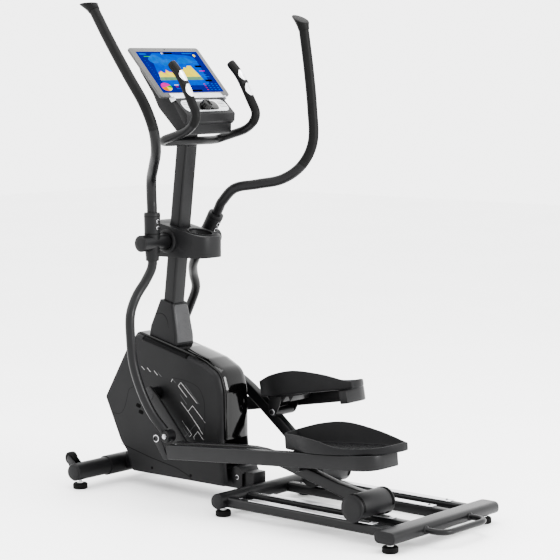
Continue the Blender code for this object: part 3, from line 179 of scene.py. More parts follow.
FINISH = {
    # Polyester powder coat on steel tube: satin, with a faint orange peel drawn at 4 mm so that it shows.
    "powder_coated_steel": mottled(
        "powder_coated_steel", "#0e0e0f", "#121213", 60, (0.30, 0.40), 4.0, 0.10,
        **{"Specular_IOR_Level": 0.20},
    ),
    # Moulded ABS with a spark-eroded texture: greyer and duller than the steel.
    "moulded_abs": mottled("moulded_abs", "#101011", "#141415", 90, (0.40, 0.50), 1.6, 0.10,
        Specular_IOR_Level=0.17),
    # A darker copy of the moulded ABS, which is painted shade: it is laid on the recessed vent ribs and on the
    # crank boss that sits in the crank arm's shadow.
    "moulded_abs_painted_shade": mottled("moulded_abs_painted_shade", "#080809", "#0b0b0c", 90, (0.42, 0.54), 1.6, 0.10,
                                Specular_IOR_Level=0.12),
    # Polished ABS cover: deep black with a wet gloss and long, slow waves.
    "polished_abs": mottled(
        "polished_abs", "#030303", "#050505", 120, (0.06, 0.10), 30.0, 0.06, Specular_IOR_Level=0.28
    ),
    # Foamed rubber grip: matte with a pebbled skin.
    "foam_grip": mottled("foam_grip", "#0b0b0b", "#0f0f0f", 20, (0.44, 0.54), 2.2, 0.12,
        Specular_IOR_Level=0.12),
    # Moulded rubber for feet and rollers.
    "moulded_rubber": mottled("moulded_rubber", "#070707", "#0b0b0b", 25, (0.55, 0.75), 2.5, 0.2,
        Specular_IOR_Level=0.12),
    # Glass-filled polypropylene pedals: grey-black, dry, with a fine leather grain.
    "pedal_polypropylene": mottled("pedal_polypropylene", "#0e0e0f", "#131314", 70, (0.42, 0.54), 2.6, 0.18,
                                   Specular_IOR_Level=0.14),
    # Extruded aluminium tracks, brushed along their length by the rollers.
    "brushed_aluminium": mottled(
        "brushed_aluminium", "#c4c4c6", "#dadadc", 30, (0.28, 0.45), 3.0, 0.05, (0.06, 1, 1), Metallic=1.0
    ),
    # Turned and zinc plated steel: bright with circular tool marks.
    "zinc_steel": mottled("zinc_steel", "#9a9a9c", "#bdbdc0", 12, (0.22, 0.36), 1.5, 0.05, Metallic=1.0),
    # Black oxide bolt heads.
    "black_oxide": mottled("black_oxide", "#161617", "#222223", 8, (0.3, 0.42), 2.0, 0.05, Metallic=0.6),
    # Silver painted ABS trim.
    "silver_paint": mottled("silver_paint", "#b9bbbe", "#cfd0d2", 40, (0.24, 0.34), 2.0, 0.03, Metallic=0.55),
    # Stainless pulse sensor plates.
    "sensor_steel": mottled("sensor_steel", "#dddde0", "#efeff0", 15, (0.18, 0.30), 2.0, 0.03, Metallic=0.8),
    # Grey lacquered bezel of the tablet.
    "bezel_lacquer": mottled("bezel_lacquer", "#3f3f3f", "#474747", 50, (0.30, 0.40), 2.0, 0.03,
        Specular_IOR_Level=0.3),
    # Satin ABS of the mast boot's rear plate, made lighter than the boot: painted light where the lamp behind
    # the machine falls on it.
    "boot_plate_painted_light": mottled("boot_plate_painted_light", "#2a2a2b", "#323233", 60, (0.26, 0.34), 2.0, 0.04,
        Specular_IOR_Level=0.3),
    # Near black seam, the shadow line between two mouldings.
    "seam_shadow": mottled("seam_shadow", "#030303", "#060606", 30, (0.6, 0.8), 2.0, 0.02,
        Specular_IOR_Level=0.05),
    # White pad-printed lines, a little uneven.
    "pad_print": mottled("pad_print", "#8a8a8a", "#a6a6a6", 8, (0.4, 0.5), 2.0, 0.01),
    "pad_print_grey": mottled("pad_print_grey", "#333334", "#424243", 8, (0.4, 0.5), 2.0, 0.01),
    # White nylon levelling washers.
    "white_nylon": mottled("white_nylon", "#dededd", "#efefee", 10, (0.4, 0.5), 2.0, 0.02),
    # Lit display colours.
    "glow_sky": plain_glow("glow_sky", "#0064ff"),
    "glow_deep": plain_glow("glow_deep", "#0022a8"),
    "glow_cloud": plain_glow("glow_cloud", "#1c7ef8"),
    "glow_yellow": plain_glow("glow_yellow", "#ffe048", 1.6),
    "glow_mint": plain_glow("glow_mint", "#84b892", 1.0),
    "glow_pink": plain_glow("glow_pink", "#ff28b0", 1.2),
    "glow_orange": plain_glow("glow_orange", "#ff8a10", 1.3),
    "glow_green": plain_glow("glow_green", "#3fc81c", 1.2),
    "glow_white": plain_glow("glow_white", "#e8eef8", 1.6),
    "glow_navy": plain_glow("glow_navy", "#050a18", 0.5),
    "glow_red": plain_glow("glow_red", "#e05252"),
}


# ------------------------------------------------------------------ modelling helpers
def at(x, y, z):
    """A point measured from the front stabiliser, in the frame of the machine."""
    return Vector((x - SHIFT, y, z))


def deselect():
    if bpy.context.mode != "OBJECT":
        bpy.ops.object.mode_set(mode="OBJECT")
    bpy.ops.object.select_all(action="DESELECT")


def finish_piece(piece, name, finish, body, smooth=35, replaces=()):
    """Names a finished mesh, gives it its finish and shading, and lets it ride."""
    piece.name = name
    piece.data.name = name
    if finish:
        piece.data.materials.clear()
        piece.data.materials.append(FINISH[finish])
    deselect()
    piece.select_set(True)
    bpy.context.view_layer.objects.active = piece
    bpy.ops.object.shade_smooth_by_angle(angle=radians(smooth))
    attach(piece, body)
    if replaces:
        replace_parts(piece, *replaces)
    return piece


def loft(name, rings, finish, body, smooth=35, replaces=()):
    """A closed solid: a filled ring, extruded ring by ring to its last one."""
    deselect()
    count = len(rings[0])
    bpy.ops.mesh.primitive_circle_add(vertices=count, radius=1.0, fill_type="NGON")
    piece = bpy.context.active_object
    for vertex, spot in zip(piece.data.vertices, rings[0]):
        vertex.co = spot
    bpy.ops.object.mode_set(mode="EDIT")
    bpy.ops.mesh.select_all(action="SELECT")
    for before, ring in zip(rings, rings[1:]):
        bpy.ops.mesh.extrude_region_move()
        tree = KDTree(count)
        for i, spot in enumerate(before):
            tree.insert(spot, i)
        tree.balance()
        mesh = bmesh.from_edit_mesh(piece.data)
        for vertex in mesh.verts:
            if vertex.select:
                vertex.co = ring[tree.find(vertex.co)[1]]
        bmesh.update_edit_mesh(piece.data)
    bpy.ops.mesh.select_all(action="SELECT")
    bpy.ops.mesh.normals_make_consistent(inside=False)
    bpy.ops.object.mode_set(mode="OBJECT")
    return finish_piece(piece, name, finish, body, smooth, replaces)


def turned(name, profile, centre, axis, finish, body, steps=40, smooth=35, replaces=()):
    """A closed profile of radius and height, spun about an axis."""
    deselect()
    axis = Vector(axis).normalized()
    side = axis.orthogonal().normalized()
    centre = Vector(centre)
    bpy.ops.mesh.primitive_circle_add(vertices=len(profile), radius=1.0, fill_type="NOTHING")
    piece = bpy.context.active_object
    for vertex, (radius, height) in zip(piece.data.vertices, profile):
        vertex.co = centre + side * radius + axis * height
    bpy.ops.object.mode_set(mode="EDIT")
    bpy.ops.mesh.select_all(action="SELECT")
    bpy.ops.mesh.spin(steps=steps, angle=2 * pi, center=centre, axis=axis)
    bpy.ops.mesh.select_all(action="SELECT")
    bpy.ops.mesh.remove_doubles(threshold=0.00001)
    bpy.ops.mesh.normals_make_consistent(inside=False)
    bpy.ops.object.mode_set(mode="OBJECT")
    return finish_piece(piece, name, finish, body, smooth, replaces)


def dress(node, finish, edge=0.0007, segments=2, smooth=35, turn=38):
    """A CAD node with its shape kept: its loose triangles are sewn, its edges broken and its faces shaded."""
    deselect()
    source = frame["nodes"][node]
    body = source["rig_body"]
    source.select_set(True)
    bpy.context.view_layer.objects.active = source
    bpy.ops.object.duplicate()
    piece = bpy.context.active_object
    del piece["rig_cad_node"]
    piece.parent = None
    bpy.ops.object.mode_set(mode="EDIT")
    bpy.ops.mesh.select_all(action="SELECT")
    bpy.ops.mesh.remove_doubles(threshold=0.00002)
    bpy.ops.mesh.dissolve_limited(angle_limit=radians(0.4))
    bpy.ops.object.mode_set(mode="OBJECT")
    if edge:
        mod = piece.modifiers.new("Edge", "BEVEL")
        mod.width = edge
        mod.segments = segments
        mod.limit_method = "ANGLE"
        mod.angle_limit = radians(turn)
        mod.use_clamp_overlap = True
        bpy.ops.object.modifier_apply(modifier=mod.name)
    return finish_piece(piece, node + "_skin", finish, body, smooth, (node,))


def rounded(points, radii, steps=4):
    """An outline with each corner rounded by its own radius."""
    out = []
    count = len(points)
    for i, (x, y) in enumerate(points):
        radius = radii[i] if hasattr(radii, "__len__") else radii
        here = Vector((x, y))
        before = Vector(points[i - 1]) - here
        after = Vector(points[(i + 1) % count]) - here
        if radius <= 0:
            out.append((x, y))
            continue
        reach = min(radius / tan(before.angle(after) / 2), 0.49 * before.length, 0.49 * after.length)
        one = here + before.normalized() * reach
        two = here + after.normalized() * reach
        for k in range(steps + 1):
            t = k / steps
            spot = one * (1 - t) ** 2 + here * 2 * t * (1 - t) + two * t * t
            out.append((spot.x, spot.y))
    return out


def inset(points, by):
    """The outline moved inwards, or outwards for a negative amount."""
    count = len(points)
    area = sum(points[i][0] * points[(i + 1) % count][1] - points[(i + 1) % count][0] * points[i][1]
               for i in range(count))
    spin = 1 if area > 0 else -1
    out = []
    for i in range(count):
        before = Vector(points[i]) - Vector(points[i - 1])
        after = Vector(points[(i + 1) % count]) - Vector(points[i])
        n1 = Vector((-before.y, before.x)).normalized() * spin
        n2 = Vector((-after.y, after.x)).normalized() * spin
        mid = (n1 + n2).normalized()
        spot = Vector(points[i]) + mid * (by / max(0.5, mid.dot(n1)))
        out.append((spot.x, spot.y))
    return out


def edge_steps(low, high, edge, steps=3):
    """Levels and insets of a block whose two rims are rounded."""
    out = []
    for k in range(steps + 1):
        a = pi / 2 * k / steps
        out.append((low + edge * (1 - cos(a)), edge * (1 - sin(a))))
    for k in range(steps + 1):
        a = pi / 2 * (steps - k) / steps
        out.append((high - edge * (1 - cos(a)), edge * (1 - sin(a))))
    return out


XZ = Matrix(((1, 0, 0, -SHIFT), (0, 0, 1, 0), (0, 1, 0, 0), (0, 0, 0, 1)))  # drawn in side view
YZ = Matrix(((0, 0, 1, -SHIFT), (1, 0, 0, 0), (0, 1, 0, 0), (0, 0, 0, 1)))  # drawn from behind


def block(name, corners, radii, low, high, edge, frame_of, finish, body, smooth=35, replaces=(), steps=3):
    """A block of the given outline with rounded corners and rounded rims."""
    rings = []
    low, high = min(low, high), max(low, high)
    edge = min(edge, (high - low) / 2.02)
    for level, by in edge_steps(low, high, edge, steps):
        if hasattr(radii, "__len__"):
            cut = [max(r - by, 0.0004) if r > 0 else 0 for r in radii]
        else:
            cut = max(radii - by, 0.0004) if radii > 0 else 0
        line = rounded(inset(corners, by), cut, 4)
        rings.append([frame_of @ Vector((x, y, level)) for x, y in line])
    return loft(name, rings, finish, body, smooth, replaces)


def tube_rings(points, radius, count=20, start=None):
    """Circles along a line, with a frame that doesn't twist. The radius may change along it."""
    pts = [Vector(p) for p in points]
    side = start
    rings = []
    last = len(pts) - 1
    for i, here in enumerate(pts):
        heading = (pts[min(i + 1, last)] - pts[max(i - 1, 0)]).normalized()
        if side is None:
            side = heading.orthogonal()
        side = (side - heading * side.dot(heading)).normalized()
        other = heading.cross(side)
        r = radius[i] if hasattr(radius, "__len__") else radius
        rings.append([here + (side * cos(2 * pi * k / count) + other * sin(2 * pi * k / count)) * r
                      for k in range(count)])
    return rings


def through(points, steps):
    """A smooth line through the points."""
    pts = [Vector(p) for p in points]
    pts = [2 * pts[0] - pts[1]] + pts + [2 * pts[-1] - pts[-2]]
    out = []
    for i in range(1, len(pts) - 2):
        a, b, c, d = pts[i - 1 : i + 3]
        for k in range(steps):
            t = k / steps
            out.append(0.5 * (2 * b + (c - a) * t + (2 * a - 5 * b + 4 * c - d) * t * t
                              + (3 * b - a - 3 * c + d) * t * t * t))
    out.append(pts[-2])
    return out


def joined(name, pieces):
    """Several pieces made one, each keeping its finish."""
    deselect()
    for piece in pieces:
        piece.select_set(True)
    bpy.context.view_layer.objects.active = pieces[0]
    bpy.ops.object.join()
    whole = bpy.context.active_object
    whole.name = name
    whole.data.name = name
    return whole


def rod_profile(radius, y0, y1, edge=0.001, bore=0.0):
    """The profile of a rod or a washer with broken edges, for turned()."""
    low, high = min(y0, y1), max(y0, y1)
    if bore:
        return [(bore, low), (radius - edge, low), (radius, low + edge), (radius, high - edge),
                (radius - edge, high), (bore, high)]
    return [(0, low), (radius - edge, low), (radius - edge * 0.3, low + edge * 0.3), (radius, low + edge),
            (radius, high - edge), (radius - edge * 0.3, high - edge * 0.3), (radius - edge, high), (0, high)]


def bolt(name, spot, axis, radius, body, height=0.005):
    """A socket head: a domed head with a hexagon recess, on a thin washer."""
    washer = turned(name + "_washer", rod_profile(radius * 1.35, 0.0, 0.0012, 0.0003), spot, axis,
                    "zinc_steel", body, 28)
    recess = radius * 0.48
    head = [(0, 0.0012), (radius, 0.0012), (radius, height * 0.6), (radius * 0.88, height * 0.9),
            (radius * 0.66, height), (recess, height), (recess, height * 0.45), (0, height * 0.4)]
    return joined(name, [turned(name, head, spot, axis, "black_oxide", body, 24), washer])


def strokes(name, lines, width, level, thick, frame_of, finish, body):
    """Thin printed or scored lines, each a flat strip a little proud of its surface."""
    parts = []
    for line in lines:
        for (xa, za), (xb, zb) in zip(line, line[1:]):
            run = Vector((xb - xa, zb - za))
            along = run.normalized() * (width * 0.5)
            side = Vector((-along.y, along.x))
            a, b = Vector((xa, za)) - along * 0.6, Vector((xb, zb)) + along * 0.6
            corners = [a - side, b - side, b + side, a + side]
            rings = [[frame_of @ Vector((p.x, p.y, h)) for p in corners] for h in (level, level + thick)]
            parts.append(loft(name, rings, finish, body, 30))
    return joined(name, parts)


# ------------------------------------------------------------------ stage
class TRAINER_OT_stage(bpy.types.Operator):
    """Pale floor, soft studio lights and the camera"""

    bl_idname = "trainer.stage"
    bl_label = "Stage"

    def execute(self, context):
        sizes = context.scene.trainer_sizes
        deselect()
        bpy.ops.mesh.primitive_plane_add(size=sizes.floor_size, location=(0, 0, 0))
        floor = context.active_object
        floor.name = "studio_floor"
        floor.data.materials.append(
            mottled("studio_paper", "#f6f6f6", "#f9f9f9", 900, (0.55, 0.62), 40, 0.02)
        )
        world = bpy.data.worlds.new("studio_world")
        world.use_nodes = True
        world.node_tree.nodes["Background"].inputs["Color"].default_value = (1, 1, 1, 1)
        world.node_tree.nodes["Background"].inputs["Strength"].default_value = 2.8
        context.scene.world = world
        context.scene.view_settings.look = "AgX - Medium High Contrast"
        for name, spot, aim, size, power in (
            ("key", (-2.6, -3.6, 3.6), (0, 0, 0.6), 2.2, 70),
            ("top", (0.4, 0.2, 4.6), (0, 0, 0.4), 3.0, 120),
            ("rear", (4.4, 0.8, 1.9), (0, 0, 0.6), 1.6, 190),
        ):
            deselect()
            bpy.ops.object.light_add(type="AREA", location=spot)
            lamp = context.active_object
            lamp.name = "light_" + name
            lamp.data.size = size
            lamp.data.energy = power
            lamp.rotation_euler = (Vector(aim) - Vector(spot)).to_track_quat("-Z", "Y").to_euler()
        deselect()
        bpy.ops.object.camera_add(location=(4.759 - SHIFT, -4.791, 1.454))
        camera = context.active_object
        camera.name = "camera"
        turn = Matrix.Rotation(radians(40.175), 3, "Z") @ Matrix.Rotation(radians(90 - 6.415), 3, "X")
        camera.rotation_euler = (turn @ Matrix.Rotation(radians(-0.124), 3, "Z")).to_euler()
        camera.data.lens = sizes.lens
        camera.data.sensor_width = 36.0
        camera.data.clip_end = 100
        context.scene.camera = camera
        return {"FINISHED"}


# ------------------------------------------------------------------ base
class TRAINER_OT_base(bpy.types.Operator):
    """Stabilisers, rails, tracks, feet and transport wheels"""

    bl_idname = "trainer.base"
    bl_label = "Base"

    def execute(self, context):
        for node in ("front_stabiliser", "mid_stabiliser", "base_beam"):
            dress(node, "powder_coated_steel", 0.0008)
        for side, sign in SIDES:
            for row in ("outer", "inner"):
                dress(f"rail_{side}_{row}", "powder_coated_steel", 0)
                dress(f"track_{side}_{row}", "brushed_aluminium", 0.0003)
            dress(f"transport_wheel_{side}", "moulded_rubber", 0.0020, 3)
            for x, z, half, r in ((0.0, 0.0598, 0.2490, 0.0262), (0.6496, 0.0509, 0.2410, 0.0224)):
                turned(
                    f"end_cap_{side}_{'front' if x == 0 else 'mid'}",
                    rod_profile(r, 0.0001, 0.0022, 0.0012), at(x, sign * half, z), (0, sign, 0),
                    "moulded_abs", "frame", 40,
                )
            for x in (0.716, 1.238):
                for y in (0.1994, 0.1036):
                    bolt(f"rail_screw_{side}_{'f' if x < 1 else 'r'}_{'o' if y > 0.15 else 'i'}",
                         at(x, sign * y, 0.0638 if x < 1 else 0.0666), (0, 0, 1), 0.0042, "frame", 0.0028)
        for row, x, y in (("front", 0.0, 0.2170), ("mid", 0.6496, 0.2090), ("rear", 1.3472, 0.2450)):
            for side, sign in SIDES:
                self.foot(row, side, x, sign * y)
        self.rear()
        self.bracket()
        return {"FINISHED"}

    def foot(self, row, side, x, y):
        body = f"foot_{row}_{side}"
        tops = {"front": 0.0295, "mid": 0.0254, "rear": 0.0298}
        pad = turned(
            body + "_pad",
            [(0, 0.0), (0.0225, 0.0), (0.0245, 0.0018), (0.0250, 0.0050), (0.0242, 0.0060), (0.0250, 0.0070),
             (0.0250, 0.0100), (0.0242, 0.0110), (0.0250, 0.0120), (0.0248, 0.0160), (0.0225, 0.0190),
             (0.0150, 0.0200), (0, 0.0200)],
            at(x, y, 0), (0, 0, 1), "moulded_rubber", body, 40, 50,
        )
        washer = turned(body + "_washer", rod_profile(0.0105, 0.0201, 0.0228, 0.0008), at(x, y, 0), (0, 0, 1),
                        "white_nylon", body, 24)
        stud = turned(body + "_stud", rod_profile(0.0058, 0.0150, tops[row], 0.0005), at(x, y, 0), (0, 0, 1),
                      "zinc_steel", body, 16)
        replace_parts(joined(body + "_pad", [pad, washer, stud]), body)

    def rear(self):
        half, deep, tall = 0.2745, 0.0760, 0.0380
        corners = [(1.3472 - deep / 2, 0.0491 - tall / 2), (1.3472 + deep / 2, 0.0491 - tall / 2),
                   (1.3472 + deep / 2, 0.0491 + tall / 2), (1.3472 - deep / 2, 0.0491 + tall / 2)]
        bar = block("rear_bar", corners, 0.0182, -half, half, 0.0006, XZ, "powder_coated_steel", "frame",
                    40, ("rear_stabiliser",))
        run = rounded([(1.3472, -0.115), (1.4532, -0.115), (1.4532, 0.115), (1.3472, 0.115)],
                      [0, 0.045, 0.045, 0], 10)
        handle = loft("rear_handle", tube_rings([at(x, y, 0.0491) for x, y in run], 0.0095),
                      "powder_coated_steel", "frame", 50)
        parts = [handle]
        for sign in (-1, 1):
            weld = [(0, 0.0), (0.0125, 0.0), (0.0135, 0.0012), (0.0120, 0.0030), (0.0102, 0.0042),
                (0, 0.0042)]
            parts.append(turned("weld", weld, at(1.3848, sign * 0.115, 0.0491), (1, 0, 0),
                                "powder_coated_steel", "frame", 24, 60))
            parts.append(block("end", inset(corners, 0.0012), 0.0170, sign * 0.2700, sign * 0.2770, 0.0016,
                XZ,
                               "moulded_abs", "frame", 40))
        whole = joined("rear_bar", [bar] + parts)
        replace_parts(whole, "rear_stabiliser")

    def bracket(self):
        cheeks = []
        for sign in (-1, 1):
            cheeks.append(block(
                "bracket",
                [(0.5385, 0.0520), (0.5385, 0.1090), (0.5480, 0.1200), (0.5740, 0.1140), (0.5840, 0.0980),
                 (0.5840, 0.0520)],
                [0.002, 0.006, 0.008, 0.010, 0.008, 0.002], sign * 0.0385, sign * 0.0425, 0.0008, XZ,
                "powder_coated_steel", "frame",
            ))
        cheeks.append(block(
            "bracket_top",
            [(0.5388, 0.1060), (0.5388, 0.1105), (0.5500, 0.1245), (0.5760, 0.1180), (0.5860, 0.1010),
             (0.5830, 0.0990), (0.5730, 0.1130), (0.5520, 0.1190), (0.5440, 0.1060)],
            [0.0, 0.002, 0.010, 0.010, 0.001, 0.001, 0.010, 0.008, 0.0], -0.0422, 0.0422, 0.0006, XZ,
            "powder_coated_steel", "frame",
        ))
        for sign in (-1, 1):
            cheeks.append(bolt("bracket_bolt", at(0.5620, sign * 0.0425, 0.0860), (0, sign, 0), 0.0060,
                "frame"))
        joined("folded_bracket", cheeks)


# ------------------------------------------------------------------ housing
HOUSE_CORNERS = [
    (-0.0190, 0.2980), (0.0860, 0.4740), (0.1300, 0.5310), (0.3360, 0.4840), (0.4370, 0.4580),
    (0.4990, 0.4270), (0.5165, 0.3700), (0.5185, 0.2120), (0.5300, 0.1000), (0.5355, 0.0540),
    (0.1080, 0.0520), (0.0830, 0.1170), (0.0530, 0.1500),
]
HOUSE_RADII = [0.014, 0.050, 0.018, 0.200, 0.060, 0.050, 0.080, 0.100, 0.100, 0.010, 0.010, 0.040, 0.050]
HOUSE_FACE = 0.0725


def house_ring(by):
    """The outline moved inwards, fully along the top and the rear and hardly at all elsewhere."""
    plain = rounded(HOUSE_CORNERS, HOUSE_RADII, 6)
    moved = rounded(inset(HOUSE_CORNERS, by), [max(r - by, 0.003) for r in HOUSE_RADII], 6)
    count = len(plain)
    out = []
    for i, ((xa, za), (xb, zb)) in enumerate(zip(plain, moved)):
        ahead = Vector(plain[(i + 2) % count]) - Vector(plain[i - 2])
        outward = Vector((-ahead.y, ahead.x)).normalized()
        share = min(1.0, max(0.0, (outward.dot(Vector((0.6, 0.8))) + 0.1) / 0.4))
        share = 0.14 + 0.86 * share
        out.append((xa + (xb - xa) * share, za + (zb - za) * share))
    return out


PRINT = [
    [(0.1836, 0.4248), (0.1979, 0.4141)], [(0.2109, 0.4224), (0.2261, 0.4101)],
    [(0.2433, 0.4153), (0.2584, 0.4023)], [(0.3219, 0.3860), (0.3290, 0.3961)],
    [(0.3929, 0.3412), (0.3546, 0.3757), (0.3663, 0.3880), (0.4398, 0.3253)],
    [(0.3669, 0.3217), (0.3983, 0.2930), (0.4191, 0.3150), (0.4762, 0.2637)],
    [(0.3983, 0.2930), (0.4510, 0.2418)], [(0.3717, 0.2578), (0.4143, 0.2174), (0.4045, 0.2080)],
    [(0.4220, 0.2691), (0.4649, 0.2238)],
    [(0.4258, 0.2030), (0.4235, 0.2113), (0.4420, 0.2308), (0.4660, 0.2060)],
]
PRINT_GREY = [
    [(0.2622, 0.4104), (0.2773, 0.3981)], [(0.3290, 0.3961), (0.3416, 0.3843)],
    [(0.3857, 0.3823), (0.4490, 0.3243)],
    [(0.3637, 0.3465), (0.3928, 0.3171)], [(0.3726, 0.2562), (0.3980, 0.2352)],
    [(0.3756, 0.2354), (0.4016, 0.2107)],
    [(0.3842, 0.2063), (0.4364, 0.2580)], [(0.4650, 0.2743), (0.4753, 0.2649)],
]
SHELL_STEPS = [
    (0.0, 0.0554), (0.0, 0.0560), (0.0010, 0.0613), (0.0040, 0.0664), (0.0085, 0.0702), (0.0140, 0.0721),
    (0.0175, 0.0725),
]


class TRAINER_OT_housing(bpy.types.Operator):
    """Housing shells with their seams, vents and printed lines, and the polished cover"""

    bl_idname = "trainer.housing"
    bl_label = "Housing"

    def execute(self, context):
        for side, sign in SIDES:
            rings = [[at(x, sign * y, z) for x, z in house_ring(by)] for by, y in SHELL_STEPS]
            loft(f"shell_{side}", rings, "moulded_abs", "frame", 28, (f"housing_{side}",))
            self.details(side, sign)
        dress("housing_cover", "polished_abs", 0.0035, 3, 40, 50)
        self.ridge()
        return {"FINISHED"}

    def details(self, side, sign):
        face = XZ @ Matrix.Translation((-0.0270, -0.0047, 0)) @ Matrix.Diagonal((1, 1, sign, 1))
        level, proud = HOUSE_FACE, 0.00025
        strokes(f"print_white_{side}", PRINT, 0.0016, level, proud, face, "pad_print", "frame")
        strokes(f"print_grey_{side}", PRINT_GREY, 0.0013, level, proud, face, "pad_print_grey", "frame")
        skirt = rounded([(0.0830, 0.1450), (0.2244, 0.1140), (0.3429, 0.0946), (0.3953, 0.0763),
            (0.4150, 0.0640)],
                        [0, 0.2, 0.1, 0.02, 0], 6)
        strokes(f"skirt_seam_{side}", [skirt], 0.0020, level, 0.00015, face, "seam_shadow", "frame")
        arcs = [(p.x, p.y) for p in through([(0.0437, 0.2481, 0), (0.0783, 0.2504, 0), (0.1000, 0.2720, 0),
                                             (0.1140, 0.3120, 0), (0.1230, 0.3384, 0), (0.1450, 0.3509, 0)],
                                             6)]
        panel = [(p.x, p.y) for p in through([(0.3290, 0.4010, 0), (0.3900, 0.3960, 0), (0.4420, 0.3810, 0),
                                              (0.4660, 0.3500, 0), (0.4735, 0.3100, 0),
                                              (0.4735, 0.2200, 0)], 6)]
        strokes(f"shell_scores_{side}", [arcs, panel], 0.0010, level, 0.00012, face, "seam_shadow", "frame")
        parts = []
        for x, z in ((0.1665, 0.2880), (0.1784, 0.2669)):
            parts.append(block("slot", [(x - 0.013, z - 0.004), (x + 0.009, z - 0.009),
                (x + 0.014, z + 0.003),
                                        (x - 0.006, z + 0.008)], 0.005, level, level + 0.0003, 0.0001, face,
                               "seam_shadow", "frame"))
        for x, z in ((0.2019, 0.0742), (0.3810, 0.0721)):
            parts.append(turned("screw_well", rod_profile(0.0050, 0.0, 0.0004, 0.0001),
                at(x, sign * level, z),
                                (0, sign, 0), "seam_shadow", "frame", 20))
        joined(f"shell_openings_{side}", parts)
        self.vent(side, sign)

    def vent(self, side, sign):
        """A strip of ribs let into the shell's shoulder beside the mast cover."""
        ribs = []
        line = [(0.0, 0.0560), (0.0010, 0.0613), (0.0040, 0.0664), (0.0085, 0.0702), (0.0118, 0.0714)]
        slope = (0.4840 - 0.5310) / (0.3360 - 0.1300)
        for k in range(40):
            x = 0.168 + 0.0048 * k
            z = 0.5310 + (x - 0.1300) * slope
            lower = [(sign * y, z - by - 0.0010) for by, y in line]
            upper = [(sign * (y + 0.0006), z - by + 0.0008) for by, y in line]
            outline = lower + list(reversed(upper))
            rings = [[YZ @ Vector((a, b + slope * (e - x), e)) for a, b in outline] for e in (x, x + 0.0024)]
            # The ribs take the darker ABS copy: painted shade for their recess.
            ribs.append(loft("vent", rings, "moulded_abs_painted_shade", "frame", 30))
        back = []
        lower = [(sign * (y - 0.001), -by - 0.0018) for by, y in line]
        upper = [(sign * (y + 0.00012), -by + 0.0003) for by, y in line]
        outline = lower + list(reversed(upper))
        for x in (0.160, 0.366):
            z = 0.5310 + (x - 0.1300) * slope
            back.append([YZ @ Vector((a, b + z, x)) for a, b in outline])
        ribs.append(loft("vent", back, "seam_shadow", "frame", 30))
        hole = [(0.1620, 0.5130), (0.1690, 0.5115), (0.1690, 0.5030), (0.1620, 0.5045)]
        ribs.append(block("hole", hole, 0.001, sign * 0.0690, sign * 0.0722, 0.0004, XZ, "polished_abs",
            "frame"))
        joined(f"vent_{side}", ribs)

    def ridge(self):
        """The raised crown of the polished cover, with the flat panel down its rear."""
        outer = inset(HOUSE_CORNERS, -0.0070)
        run = rounded(outer, HOUSE_RADII, 8)
        keep = [p for p in run if p[1] > 0.165 and p[0] > 0.296]
        rings = []
        for i, (x, z) in enumerate(keep):
            ahead = Vector(keep[min(i + 1, len(keep) - 1)]) - Vector(keep[max(i - 1, 0)])
            out = Vector((ahead.y, -ahead.x)).normalized()
            if out.dot(Vector((x - 0.27, z - 0.25))) < 0:
                out = -out
            ring = []
            for y, rise in ((-0.0535, -0.004), (-0.0530, 0.0004), (-0.0480, 0.0034), (-0.0300, 0.0056),
                            (0.0, 0.0066), (0.0300, 0.0056), (0.0480, 0.0034), (0.0530, 0.0004),
                            (0.0535, -0.004)):
                ring.append(at(x + out.x * rise, y, z + out.y * rise))
            rings.append(ring)
        loft("cover_crown", rings, "polished_abs", "frame", 40)


# ------------------------------------------------------------------ mast, its covers and the pivot
def mast_x(z):
    return 0.2687 + (z - 0.8537) * LEAN


def rounded_ring(x0, x1, half, radius, height, steps=5):
    line = rounded([(x0, -half), (x1, -half), (x1, half), (x0, half)], radius, steps)
    return [at(x, y, height(x)) for x, y in line]


